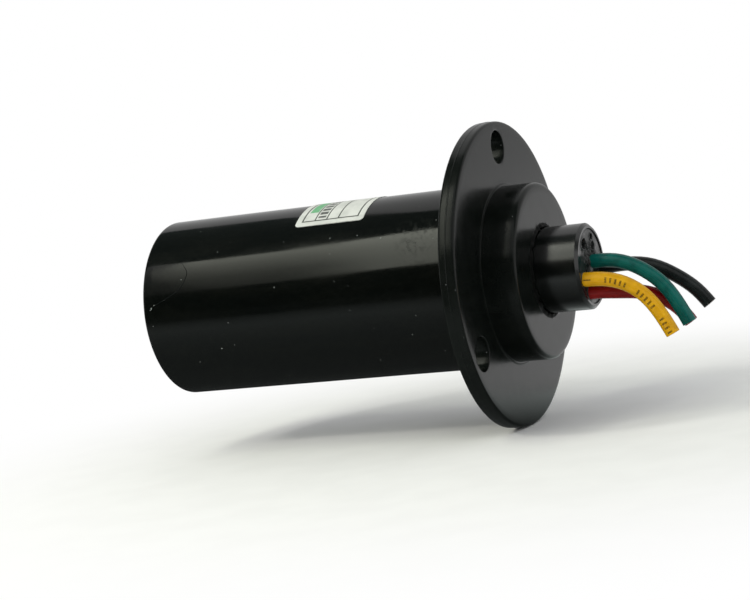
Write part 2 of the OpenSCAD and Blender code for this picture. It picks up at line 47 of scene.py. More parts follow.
WELD = 1e-8
SOFT = {"interpolation_type": "SMOOTHSTEP"}
# most of a noise lies between these two values
MIDDLE = (0.3, 0.7)
Point = tuple[float, float, float]
Socket = bpy.types.NodeSocket
Term = Socket | float | tuple[float, ...]
log = logging.getLogger("slip_ring")


class Body(Enum):
    """Bodies that the pieces ride on."""

    STATOR = "stator"
    ROTOR = "rotor"


# ---------- numbers and nodes ----------


def linear(hex_colour: str) -> tuple[float, float, float, float]:
    """Turns an sRGB hex colour to linear RGBA.

    Args:
        hex_colour: Six hex digits after a hash.

    Returns:
        Red, green and blue by the sRGB curve, and an alpha of 1.
    """
    parts = [int(hex_colour[i : i + 2], 16) / 255 for i in (1, 3, 5)]
    curve = [c / 12.92 if c <= 0.04045 else ((c + 0.055) / 1.055) ** 2.4 for c in parts]
    return (curve[0], curve[1], curve[2], 1.0)


def per_mm(size: float) -> float:
    """Scale of a texture on Object coordinates whose features are this many millimetres."""
    return 1.0 / (size * MM)


class Tree:
    """A node tree, to which nodes are added with their settings and links in one call."""

    def __init__(self, tree: bpy.types.NodeTree) -> None:
        """Empties the tree."""
        self.tree = tree
        tree.nodes.clear()

    def add(self, kind: str, inputs: tuple[Term, ...] | dict[int | str, Term] = (),
            **settings: object) -> bpy.types.bpy_prop_collection:
        """Adds a node.

        Args:
            kind: The node's type, without the ShaderNode that each starts with.
            inputs: What goes in, in the order of the inputs or by name: a socket to link, or a constant.
            settings: Properties of the node itself.

        Returns:
            The node's outputs.
        """
        node = self.tree.nodes.new("ShaderNode" + kind)
        for name, value in settings.items():
            setattr(node, name, value)
        for key, term in inputs.items() if isinstance(inputs, dict) else enumerate(inputs):
            if isinstance(term, Socket):
                self.tree.links.new(term, node.inputs[key])
            else:
                node.inputs[key].default_value = term
        return node.outputs


def from_axis(t: Tree, parts: bpy.types.bpy_prop_collection) -> Socket:
    """Distance from the X axis: the root of y squared plus z squared."""
    squares = tuple(t.add("Math", (parts[k], 2.0), operation="POWER")[0] for k in (1, 2))
    return t.add("Math", (t.add("Math", squares, operation="ADD")[0],), operation="SQRT")[0]


def all_of(t: Tree, first: Socket, *others: Socket) -> Socket:
    """Mask where all of several masks are: their product.

    Args:
        t: The tree.
        first: The first mask.
        others: The other masks.

    Returns:
        The mask.
    """
    for mask in others:
        first = t.add("Math", (first, mask), operation="MULTIPLY")[0]
    return first


def repeated(t: Tree, value: Socket, pitch: float) -> Socket:
    """Share of the way through each length of one pitch: the fraction of value over pitch."""
    return t.add("Math", (t.add("Math", (value, pitch), operation="DIVIDE")[0],), operation="FRACT")[0]


def within(t: Tree, value: Socket, middle: float, half: float, soft: float) -> Socket:
    """Mask that is 1 where a value lies near a middle, and 0 away from it.

    Args:
        t: The tree.
        value: What is measured.
        middle: Its value in the mask's middle.
        half: Half of the mask's width.
        soft: Half of the width of its soft edge.

    Returns:
        The mask.
    """
    off = t.add("Math", (value, middle), operation="SUBTRACT")[0]
    away = t.add("Math", (off,), operation="ABSOLUTE")[0]
    return t.add("MapRange", (away, half - soft, half + soft, 1.0, 0.0), **SOFT)[0]


def drift(t: Tree, cloud: Socket, first: Socket | str, second: str, low: float = 0.35, high: float = 0.7,
          most: float = 1.0) -> Socket:
    """Colour that goes from one to another as a cloud thickens.

    Args:
        t: The tree.
        cloud: The cloud's noise.
        first: Hex colour or socket of the clear part.
        second: Hex colour of the thick part.
        low: Noise at which the second colour starts.
        high: Noise at which it is strongest.
        most: Its share there.

    Returns:
        The colour.
    """
    share = t.add("MapRange", (cloud, low, high, 0.0, most), **SOFT)[0]
    start = first if isinstance(first, Socket) else linear(first)
    return t.add("Mix", {0: share, 6: start, 7: linear(second)}, data_type="RGBA")[2]


def relief(t: Tree, *layers: tuple[Socket, float]) -> Socket:
    """Normal of a surface with layers of relief, each on top of the one before.

    Args:
        t: The tree.
        layers: The height map of each layer, and its height in millimetres.

    Returns:
        The normal.
    """
    under: dict[int | str, Term] = {}
    for height, depth_mm in layers:
        normal = t.add("Bump", {"Height": height, "Distance": depth_mm * MM, **under})[0]
        under = {"Normal": normal}
    return normal


@dataclass(frozen=True)
class Overlay:
    """Something thin that lies on a surface or wears it, such as dust.

    Attributes:
        colour: Its colour.
        cover: How much of the colour under it that it hides.
        rougher: How much roughness it adds.
    """

    colour: str
    cover: float
    rougher: float

    def over(self, t: Tree, mask: Socket, colour: Socket, rough: Socket) -> tuple[Socket, Socket]:
        """Lays it over a surface.

        Args:
            t: The tree.
            mask: Where it lies.
            colour: The surface's colour.
            rough: The surface's roughness.

        Returns:
            The new colour and roughness.
        """
        share = t.add("Math", (mask, self.cover), operation="MULTIPLY")[0]
        extra = t.add("Math", (mask, self.rougher), operation="MULTIPLY")[0]
        colour = t.add("Mix", {0: share, 6: colour, 7: linear(self.colour)}, data_type="RGBA")[2]
        return colour, t.add("Math", (rough, extra), operation="ADD")[0]


# ---------- surfaces ----------


def grid_quads(rows: int, columns: int, close_rows: bool, close_columns: bool) -> np.ndarray:
    """Corner numbers of the quads of a grid of points.

    Args:
        rows: Points along the first parameter.
        columns: Points along the second parameter.
        close_rows: Whether the last row joins the first.
        close_columns: Whether the last column joins the first.

    Returns:
        One row of four point numbers for each quad: (i, j), (i + 1, j), (i + 1, j + 1), (i, j + 1).
    """
    i, j = np.meshgrid(
        np.arange(rows if close_rows else rows - 1),
        np.arange(columns if close_columns else columns - 1), indexing="ij",
    )
    i, j = i.ravel(), j.ravel()
    k, m = (i + 1) % rows, (j + 1) % columns
    return np.stack([i * columns + j, k * columns + j, k * columns + m, i * columns + m], axis=1)


def signed_volume(points: np.ndarray, quads: np.ndarray) -> float:
    """Volume inside closed quads: the sum of the tetrahedra that their halves make with the origin.

    Args:
        points: Rows of x, y, z.
        quads: Four point numbers for each face.

    Returns:
        The volume, negative where the faces point inwards.
    """
    a, b, c, d = (points[quads[:, k]] for k in range(4))
    first, second = (np.einsum("ij,ij->i", a, np.cross(*pair)) for pair in ((b, c), (c, d)))
    return float((first + second).sum() / 6)


def make_piece(name: str, points: np.ndarray, quads: np.ndarray, sharp: float = 40.0,
               uv: np.ndarray | None = None) -> bpy.types.Object:
    """Makes a closed mesh piece whose faces point outwards.

    Points that share a place become one, so seams and poles are closed, and a quad that then
    names a point twice becomes a triangle.

    Args:
        name: Name of the piece.
        points: One row of x, y, z in metres for each point.
        quads: Four point numbers for each face.
        sharp: Edges that bend more than this many degrees stay sharp.
        uv: A pair for each corner of each quad, if the finish follows the surface.

    Returns:
        The object, linked to the scene.
    """
    _, first, owner = np.unique(np.round(points / WELD).astype(np.int64), axis=0, return_index=True,
                                return_inverse=True)
    points, quads = points[first], owner.reshape(-1)[quads]
    if signed_volume(points, quads) < 0:
        quads = quads[:, ::-1]
        uv = None if uv is None else uv[:, ::-1]
    keep = quads != np.roll(quads, -1, axis=1)
    solid = keep.sum(axis=1) > 2
    quads, keep = quads[solid], keep[solid]
    loops, totals = quads[keep], keep.sum(axis=1)
    starts = np.concatenate([[0], np.cumsum(totals)[:-1]])
    mesh = bpy.data.meshes.new(name)
    mesh.vertices.add(len(points))
    mesh.vertices.foreach_set("co", points.astype(np.float32).ravel())
    mesh.loops.add(len(loops))
    mesh.loops.foreach_set("vertex_index", loops.astype(np.int32))
    mesh.polygons.add(len(totals))
    mesh.polygons.foreach_set("loop_start", starts.astype(np.int32))
    if uv is not None:
        layer = mesh.uv_layers.new(name=SURFACE_UV)
        layer.data.foreach_set("uv", uv[solid][keep].astype(np.float32).ravel())
    mesh.update(calc_edges=True)
    mesh.polygons.foreach_set("use_smooth", np.ones(len(mesh.polygons), bool))
    mesh.set_sharp_from_angle(angle=math.radians(sharp))
    piece = bpy.data.objects.new(name, mesh)
    bpy.context.scene.collection.objects.link(piece)
    return piece


def grid_uv(u: np.ndarray, v: np.ndarray) -> np.ndarray:
    """Pairs for the corners of a grid's quads, which has one quad for each step of u and of v.

    Args:
        u: First number at each row, the row after the last one included where the grid closes.
        v: Second number at each column, likewise.

    Returns:
        A pair for each corner of each quad, in the order of grid_quads.
    """
    low_u, low_v = np.meshgrid(u[:-1], v[:-1], indexing="ij")
    high_u, high_v = np.meshgrid(u[1:], v[1:], indexing="ij")
    corners = [(low_u, low_v), (high_u, low_v), (high_u, high_v), (low_u, high_v)]
    return np.stack([np.stack([p.ravel(), q.ravel()], axis=1) for p, q in corners], axis=1)


def about_axis(x: np.ndarray, radius: np.ndarray | float, angle: np.ndarray) -> np.ndarray:
    """Points (x, r cos a, r sin a): at radius r from the X axis, turned a from +Y towards +Z."""
    return np.stack(np.broadcast_arrays(x, radius * np.cos(angle), radius * np.sin(angle)), axis=-1)


def round_turn(columns: int) -> np.ndarray:
    """Angles of points spaced evenly round a whole turn."""
    return np.linspace(0, FULL_TURN, columns, endpoint=False)


def revolve(profile: np.ndarray, columns: int) -> tuple[np.ndarray, np.ndarray]:
    """Turns a closed outline round the X axis: the point at (i, j) has x_i, r_i and the j-th even angle.

    Args:
        profile: Rows of x and radius, a closed loop.
        columns: Points round the axis.

    Returns:
        The points and the quads.
    """
    points = about_axis(profile[:, :1], profile[:, 1:], round_turn(columns)).reshape(-1, 3)
    return points, grid_quads(len(profile), columns, True, True)


def rounded(corners: list[Point], steps: int = 6) -> np.ndarray:
    """Closed outline whose corners are arcs.

    Each corner's arc starts and ends a tangent length from it, which is its radius times the
    tangent of half the turn, and blends the two tangent points as a quadratic curve does.

    Args:
        corners: Rows of x, radius from the axis, and the corner's own rounding, in millimetres.
        steps: Points in each arc.

    Returns:
        The outline in metres.
    """
    given = np.array(corners, float)
    at = given[:, :2]
    back, ahead = np.roll(at, 1, axis=0) - at, np.roll(at, -1, axis=0) - at
    back_len, ahead_len = np.linalg.norm(back, axis=1), np.linalg.norm(ahead, axis=1)
    back, ahead = back / back_len[:, None], ahead / ahead_len[:, None]
    turn = np.pi - np.arccos(np.clip((back * ahead).sum(axis=1), -1, 1))
    reach = np.minimum(given[:, 2] * np.tan(turn / 2), 0.45 * np.minimum(back_len, ahead_len))
    t = np.linspace(0, 1, steps)[None, :, None]
    first, last = (at + back * reach[:, None])[:, None], (at + ahead * reach[:, None])[:, None]
    arcs = first * (1 - t) ** 2 + 2 * at[:, None] * t * (1 - t) + last * t**2
    outline = arcs.reshape(-1, 2)
    kept = np.linalg.norm(outline - np.roll(outline, 1, axis=0), axis=1) > 1e-6
    return outline[kept] * MM


def filled_in(profile: np.ndarray, step: float) -> np.ndarray:
    """Adds points to a closed outline, by equal shares of each side.

    Args:
        profile: The outline.
        step: The most that two neighbours may be apart.

    Returns:
        The outline with the new points.
    """
    after = np.roll(profile, -1, axis=0)
    counts = np.maximum(1, np.ceil(np.linalg.norm(after - profile, axis=1) / step)).astype(int)
    owner = np.repeat(np.arange(len(profile)), counts)
    share = (np.arange(len(owner)) - np.repeat(np.cumsum(counts) - counts, counts)) / counts[owner]
    return profile[owner] + (after - profile)[owner] * share[:, None]


def waves(a: np.ndarray, b: np.ndarray, rng: np.random.Generator, count: int, most: float) -> np.ndarray:
    """A smooth random surface: a sum of sines of whole turns in a, and of any rate in b.

    Args:
        a: First parameter, which may close on itself after a whole turn.
        b: Second parameter.
        rng: Source of the turns, rates and phases.
        count: Number of sines.
        most: The most turns, and the fastest rate.

    Returns:
        Heights, nearly all between -1 and 1.
    """
    total = np.zeros(np.broadcast(a, b).shape)
    for _ in range(count):
        turns, rate = rng.integers(1, int(most) + 1), rng.uniform(-most, most)
        total = total + np.sin(turns * a + rate * b + rng.uniform(0, FULL_TURN))
    return total / math.sqrt(count)


def spline(route: np.ndarray, count: int) -> np.ndarray:
    """Points on one smooth curve through the points of a route.

    A natural cubic spline over the chord length: its second derivatives solve the usual
    three-band equations, with zero at both ends.

    Args:
        route: Rows of x, y, z.
        count: Points wanted.

    Returns:
        The points, evenly spaced over the chord length.
    """
    knots = np.concatenate([[0], np.cumsum(np.linalg.norm(np.diff(route, axis=0), axis=1))])
    step = np.diff(knots)
    size = len(route)
    band = np.eye(size)
    inner = np.arange(1, size - 1)
    band[inner, inner - 1] = step[:-1]
    band[inner, inner] = 2 * (step[:-1] + step[1:])
    band[inner, inner + 1] = step[1:]
    slope = np.diff(route, axis=0) / step[:, None]
    right = np.zeros_like(route)
    right[1:-1] = 6 * np.diff(slope, axis=0)
    bend = np.linalg.solve(band, right)
    at = np.linspace(0, knots[-1], count)
    k = np.clip(np.searchsorted(knots, at, side="right") - 1, 0, size - 2)
    w, h = (at - knots[k])[:, None], step[k][:, None]
    left = h - w
    return (
        bend[k] * left**3 / (6 * h) + bend[k + 1] * w**3 / (6 * h)
        + (route[k] / h - bend[k] * h / 6) * left + (route[k + 1] / h - bend[k + 1] * h / 6) * w
    )


def sweep(path: np.ndarray, radii: np.ndarray, along: np.ndarray, side: Point,
          columns: int) -> tuple[np.ndarray, np.ndarray, np.ndarray]:
    """A round skin about a path, with one ring of points for each entry of radii.

    Ring i has its middle at the path's point along_i, and its points at radius_i in the plane
    across the path, turned evenly from the side direction.

    Args:
        path: Rows of x, y, z.
        radii: Radius of each ring; 0 closes an end.
        along: Where each ring stands, in steps of the path.
        side: A direction that the path is never parallel to.
        columns: Points in a ring.

    Returns:
        Points, quads, and pairs for their corners: metres along the path, and turns round it.
    """
    index = np.arange(len(path))
    slope = np.gradient(path, axis=0)
    middle, tangent = (np.stack([np.interp(along, index, rows[:, k]) for k in range(3)], axis=1)
                       for rows in (path, slope))
    tangent /= np.linalg.norm(tangent, axis=1)[:, None]
    over = np.cross(tangent, np.array(side))
    over /= np.linalg.norm(over, axis=1)[:, None]
    other = np.cross(over, tangent)
    angle = round_turn(columns)
    rim = other[:, None] * np.cos(angle)[None, :, None] + over[:, None] * np.sin(angle)[None, :, None]
    points = middle[:, None] + rim * radii[:, None, None]
    length = np.concatenate([[0], np.cumsum(np.linalg.norm(np.diff(path, axis=0), axis=1))])
    uv = grid_uv(np.interp(along, index, length), np.linspace(0, 1, columns + 1))
    return points.reshape(-1, 3), grid_quads(len(radii), columns, False, True), uv


def applied(piece: bpy.types.Object) -> None:
    """Bakes a piece's modifiers into its mesh.

    Args:
        piece: The piece, which keeps its name and loses its modifiers.
    """
    graph = bpy.context.evaluated_depsgraph_get()
    mesh = bpy.data.meshes.new_from_object(piece.evaluated_get(graph))
    piece.modifiers.clear()
    old = piece.data
    piece.data = mesh
    bpy.data.meshes.remove(old)


# ---------- finishes ----------


@dataclass(frozen=True)
class Finish:
    """A material that draws its own shader.

    Attributes:
        name: Material name: what the real one is, and how its surface was made.
    """

    name: str

    def shader(self, t: Tree, place: Socket) -> Socket:
        """Draws the surface, from Object coordinates to the shader's socket."""
        raise NotImplementedError

    def build(self) -> bpy.types.Material:
        """Makes the material.

        Returns:
            The material, with its shader on its output.
        """
        material = bpy.data.materials.new(self.name)
        material.use_nodes = True
        t = Tree(material.node_tree)
        t.add("OutputMaterial", (self.shader(t, t.add("TexCoord")["Object"]),))
        return material


# pale specks that catch the light on a dark surface
DUST = Overlay("#8c8f8e", cover=0.75, rougher=0.4)
# skin grease dulls a gloss and greys it
SMEAR = Overlay("#2a2d2a", cover=0.25, rougher=0.16)
# rubber torn by the tool's edge has no gloss; its near black colour is painted shade in the gap round the hub
MATT_LIP_PAINTED_SHADE = Overlay("#040504", cover=1.0, rougher=0.5)


@dataclass(frozen=True)
class Plastic(Finish):
    """A moulded or extruded plastic, with the tool's grain, slow waves, and dust.

    Attributes:
        colour: Colour of the resin.
        tint: Colour that it drifts to over a few millimetres.
        roughness: Middle roughness.
        spread: How far the roughness drifts to each side.
        grain_mm: Width of the tool's grain.
        grain_depth_mm: Height of the grain.
        wave_mm: Width of the slow waves in the surface.
        wave_depth_mm: Height of the slow waves.
        cloud_mm: Width of the clouds that move colour and roughness.
        stretch: How many times longer the waves are along the axis than across it.
        specular: Specular level, where 0.5 is that of IOR 1.5.
        dust: Share of the surface that carries pale specks.
        speck_mm: Distance from one speck to the next; a real speck is finer than the render can show.
        speck_edge: Where a speck starts to fade and where it ends, as shares of that distance.
    """

    colour: str
    tint: str
    roughness: float = 0.4
    spread: float = 0.06
    grain_mm: float = 0.25
    grain_depth_mm: float = 0.004
    wave_mm: float = 6.0
    wave_depth_mm: float = 0.01
    cloud_mm: float = 2.2
    stretch: float = 1.0
    specular: float = 0.4
    dust: float = 0.0
    speck_mm: float = 1.3
    speck_edge: tuple[float, float] = (0.035, 0.08)

    def dusty(self, t: Tree, place: Socket) -> Socket:
        """Mask of the dust: a dot in the middle of some cells of a cell pattern.

        Args:
            t: The tree.
            place: Object coordinates.

        Returns:
            The mask.
        """
        speck = t.add("TexVoronoi", {"Vector": place, "Scale": per_mm(self.speck_mm)})
        cell = t.add("SeparateColor", (speck["Color"],))[0]
        chosen = t.add("Math", (cell, 1 - self.dust), operation="GREATER_THAN")[0]
        near = t.add("MapRange", (speck["Distance"], *self.speck_edge, 1.0, 0.0), **SOFT)[0]
        return all_of(t, chosen, near)

    def wear_and_painted_shade(self, t: Tree, place: Socket, colour: Socket, rough: Socket) -> tuple[Socket, Socket]:
        """Leaves the surface as it is; a finish that varies by place changes it here, with its wear, and on
        the seal with painted shade.

        Args:
            t: The tree.
            place: Object coordinates.
            colour: The surface's colour.
            rough: The surface's roughness.

        Returns:
            The colour and roughness to use.
        """
        return colour, rough

    def shader(self, t: Tree, place: Socket) -> Socket:
        """Draws clouds of colour and roughness, then dust, and wear and painted shade where a finish adds
        them, over waves and grain.

        Args:
            t: The tree.
            place: Object coordinates.

        Returns:
            The shader.
        """
        along = t.add("Mapping", {"Vector": place, "Scale": (1 / self.stretch, 1, 1)})[0]
        slow = t.add("TexNoise", {"Vector": along, "Scale": per_mm(self.wave_mm), "Detail": 2.0})[0]
        cloud = t.add("TexNoise", {"Vector": along, "Scale": per_mm(self.cloud_mm), "Detail": 4.0})[0]
        grain = t.add("TexNoise", {"Vector": place, "Scale": per_mm(self.grain_mm), "Detail": 3.0})[0]
        low, high = self.roughness - self.spread, self.roughness + self.spread
        colour = drift(t, cloud, self.colour, self.tint)
        rough = t.add("MapRange", (cloud, *MIDDLE, low, high), **SOFT)[0]
        if self.dust:
            colour, rough = DUST.over(t, self.dusty(t, place), colour, rough)
        colour, rough = self.wear_and_painted_shade(t, place, colour, rough)
        normal = relief(t, (slow, self.wave_depth_mm), (grain, self.grain_depth_mm))
        return t.add("BsdfPrincipled", {"Base Color": colour, "Roughness": rough, "Normal": normal,
                                        "Specular IOR Level": self.specular})[0]


@dataclass(frozen=True)
class DrawnTube(Plastic):
    """Drawn tube with the matt smears of handling, strongest in one place.

    Attributes:
        touched: Where it was handled most, in millimetres.
        core_mm: Within this distance the smears are at their strongest.
        reach_mm: Beyond this distance only the faint ones are left.
        faint: Strength of those.
        smear_mm: Width of one smear.
        smear_noise: Noise at which a smear starts and at which it is full.
    """

    touched: Point = (-8.5, -12.6, 8.1)
    core_mm: float = 0.8
    reach_mm: float = 5.5
    faint: float = 0.12
    smear_mm: float = 0.7
    smear_noise: tuple[float, float] = (0.46, 0.6)

    def wear_and_painted_shade(self, t: Tree, place: Socket, colour: Socket, rough: Socket) -> tuple[Socket, Socket]:
        """Roughens the smears and greys them a little.

        Args:
            t: The tree.
            place: Object coordinates.
            colour: The surface's colour.
            rough: The surface's roughness.

        Returns:
            The colour and roughness to use.
        """
        spot = t.add("Mapping", {"Vector": place, "Location": tuple(-c * MM for c in self.touched)})[0]
        away = t.add("VectorMath", (spot,), operation="LENGTH")["Value"]
        near = t.add("MapRange", (away, self.core_mm * MM, self.reach_mm * MM, 1.0, self.faint), **SOFT)[0]
        noise = t.add("TexNoise", {"Vector": place, "Scale": per_mm(self.smear_mm), "Detail": 5.0,
                                   "Roughness": 0.65})[0]
        patch = t.add("MapRange", (noise, *self.smear_noise, 0.0, 1.0), **SOFT)[0]
        return SMEAR.over(t, all_of(t, patch, near), colour, rough)


@dataclass(frozen=True)
class SealRubber(Plastic):
    """Moulded rubber that is satin where the tool pressed it flush, and matt on the ragged lip at the hub,
    whose colour is darkened as painted shade in the gap round the hub.

    Attributes:
        lip_mm: Radius inside which the lip, and its painted shade, start.
        lip_edge_mm: How far inside and outside that radius the change goes.
    """

    lip_mm: float = 7.75
    lip_edge_mm: tuple[float, float] = (0.15, 0.1)

    def wear_and_painted_shade(self, t: Tree, place: Socket, colour: Socket, rough: Socket) -> tuple[Socket, Socket]:
        """Paints shade on the lip: darkens its colour near black, as the gap round the hub is in shade, and
        dulls it.

        Args:
            t: The tree.
            place: Object coordinates.
            colour: The surface's colour.
            rough: The surface's roughness.

        Returns:
            The colour and roughness to use.
        """
        inside, outside = self.lip_edge_mm
        radius = from_axis(t, t.add("SeparateXYZ", (place,)))
        lip = t.add("MapRange", (radius, (self.lip_mm - inside) * MM, (self.lip_mm + outside) * MM, 1.0, 0.0),
                    **SOFT)[0]
        # painted shade: the lip's colour goes near black in the gap round the hub
        return MATT_LIP_PAINTED_SHADE.over(t, lip, colour, rough)


@dataclass(frozen=True)
class Metal(Finish):
    """A bare metal with the marks of its making.

    Attributes:
        colour: Colour of the clean metal.
        stain: Colour where it has dulled.
        roughness: Middle roughness.
        line_mm: Width of the tool lines, which run round the axis.
        line_depth_mm: Height of the tool lines.
        cloud_mm: Width of the clouds that dull it.
    """

    colour: str
    stain: str
    roughness: float = 0.25
    line_mm: float = 0.12
    line_depth_mm: float = 0.002
    cloud_mm: float = 1.4

    def shader(self, t: Tree, place: Socket) -> Socket:
        """Draws clouds of dullness over turned lines.

        Args:
            t: The tree.
            place: Object coordinates.

        Returns:
            The shader.
        """
        parts = t.add("SeparateXYZ", (place,))
        # a tool that faces or turns the piece leaves rings: they depend on x plus radius alone
        across = t.add("Math", (parts[0], from_axis(t, parts)), operation="ADD")[0]
        ringed = t.add("CombineXYZ", (across,))[0]
        lines = t.add("TexNoise", {"Vector": ringed, "Scale": per_mm(self.line_mm), "Detail": 2.0})[0]
        cloud = t.add("TexNoise", {"Vector": place, "Scale": per_mm(self.cloud_mm), "Detail": 4.0})[0]
        colour = drift(t, cloud, self.colour, self.stain, 0.45, 0.75, 0.7)
        rough = t.add("MapRange", (cloud, *MIDDLE, self.roughness * 0.8, self.roughness * 1.3), **SOFT)[0]
        normal = relief(t, (lines, self.line_depth_mm))
        return t.add("BsdfPrincipled", {"Base Color": colour, "Roughness": rough, "Normal": normal,
                                        "Metallic": 1.0})[0]


class Print(Enum):
    """What is printed on a lead's insulation."""

    BARE = "bare"
    TICKS = "ticks"


@dataclass(frozen=True)
class Insulation(Finish):
    """Extruded PVC on a lead: smooth and a little waxy, with fine lines along it and handling marks.

    Attributes:
        colour: Colour of the PVC.
        shade: Colour that it drifts to.
        printed: What is printed along it.
        ink: Colour of the ink.
        roughness: Middle roughness.
        streak: How far the streaks' roughness goes below and above it.
        sheen: Specular level.
        starts: Distance along the lead at which the print starts, in millimetres.
        tick_pitch: Millimetres from one tick to the next.
        group_pitch: Millimetres from one group of ticks to the next.
        first_dash: Place and half length of the dash before the groups, in millimetres from the start.
        skin: Scale along the lead and round it that draws the fine lines out lengthwise.
    """

    colour: str
    shade: str
    printed: Print = Print.BARE
    ink: str = "#3a2c06"
    roughness: float = 0.3
    streak: tuple[float, float] = (-0.06, 0.08)
    sheen: float = 0.28
    starts: float = 15.6
    tick_pitch: float = 0.8
    group_pitch: float = 5.6
    first_dash: tuple[float, float] = (-1.9, 0.66)
    skin: tuple[float, float] = (120.0, 24.0)

    def shader(self, t: Tree, place: Socket) -> Socket:
        """Draws lengthwise lines and clouds, and the ticks if there are any.

        Args:
            t: The tree.
            place: Object coordinates.

        Returns:
            The shader.
        """
        parts = t.add("SeparateXYZ", (t.add("UVMap", uv_map=SURFACE_UV)[0],))
        skin = t.add("CombineXYZ", tuple(t.add("Math", (parts[k], self.skin[k]), operation="MULTIPLY")[0]
                                         for k in (0, 1)))[0]
        lines = t.add("TexNoise", {"Vector": skin, "Scale": 1.6, "Detail": 3.0})[0]
        cloud = t.add("TexNoise", {"Vector": place, "Scale": per_mm(1.8), "Detail": 3.0})[0]
        fine = t.add("TexNoise", {"Vector": place, "Scale": per_mm(0.22), "Detail": 2.0})[0]
        colour = drift(t, cloud, self.colour, self.shade)
        low, high = (self.roughness + step for step in self.streak)
        rough = t.add("MapRange", (lines, *MIDDLE, low, high), **SOFT)[0]
        if self.printed is Print.TICKS:
            ticks = self.ticks(t, parts, fine)
            colour = t.add("Mix", {0: ticks, 6: colour, 7: linear(self.ink)}, data_type="RGBA")[2]
        normal = relief(t, (lines, 0.012), (fine, 0.002))
        return t.add("BsdfPrincipled", {
            "Base Color": colour, "Roughness": rough, "Normal": normal, "Specular IOR Level": self.sheen,
            "Subsurface Weight": 0.08, "Subsurface Scale": 0.3 * MM, "Subsurface Radius": (1.0, 0.7, 0.4)})[0]

    def ticks(self, t: Tree, parts: bpy.types.bpy_prop_collection, fine: Socket) -> Socket:
        """Mask of a dash and then groups of plain ticks along the lead.

        Args:
            t: The tree.
            parts: Metres along the lead and turns round it.
            fine: Fine noise, which wears the ink away.

        Returns:
            The mask.
        """
        run = t.add("Math", (parts[0], 1 / MM), operation="MULTIPLY")[0]
        far = t.add("Math", (run, self.starts), operation="SUBTRACT")[0]
        tick = within(t, repeated(t, far, self.tick_pitch), 0.5, 0.2, 0.03)
        group = within(t, repeated(t, far, self.group_pitch), 0.5, 0.365, 0.005)
        row = within(t, parts[1], 0.5, 0.06, 0.005)
        begun = t.add("Math", (far, 0.0), operation="GREATER_THAN")[0]
        dash = all_of(t, within(t, far, *self.first_dash, 0.04), within(t, parts[1], 0.5, 0.016, 0.004))
        shown = t.add("Math", (all_of(t, tick, group, row, begun), dash), operation="MAXIMUM")[0]
        return all_of(t, shown, t.add("MapRange", (fine, 0.3, 0.55, 0.35, 0.85), **SOFT)[0])


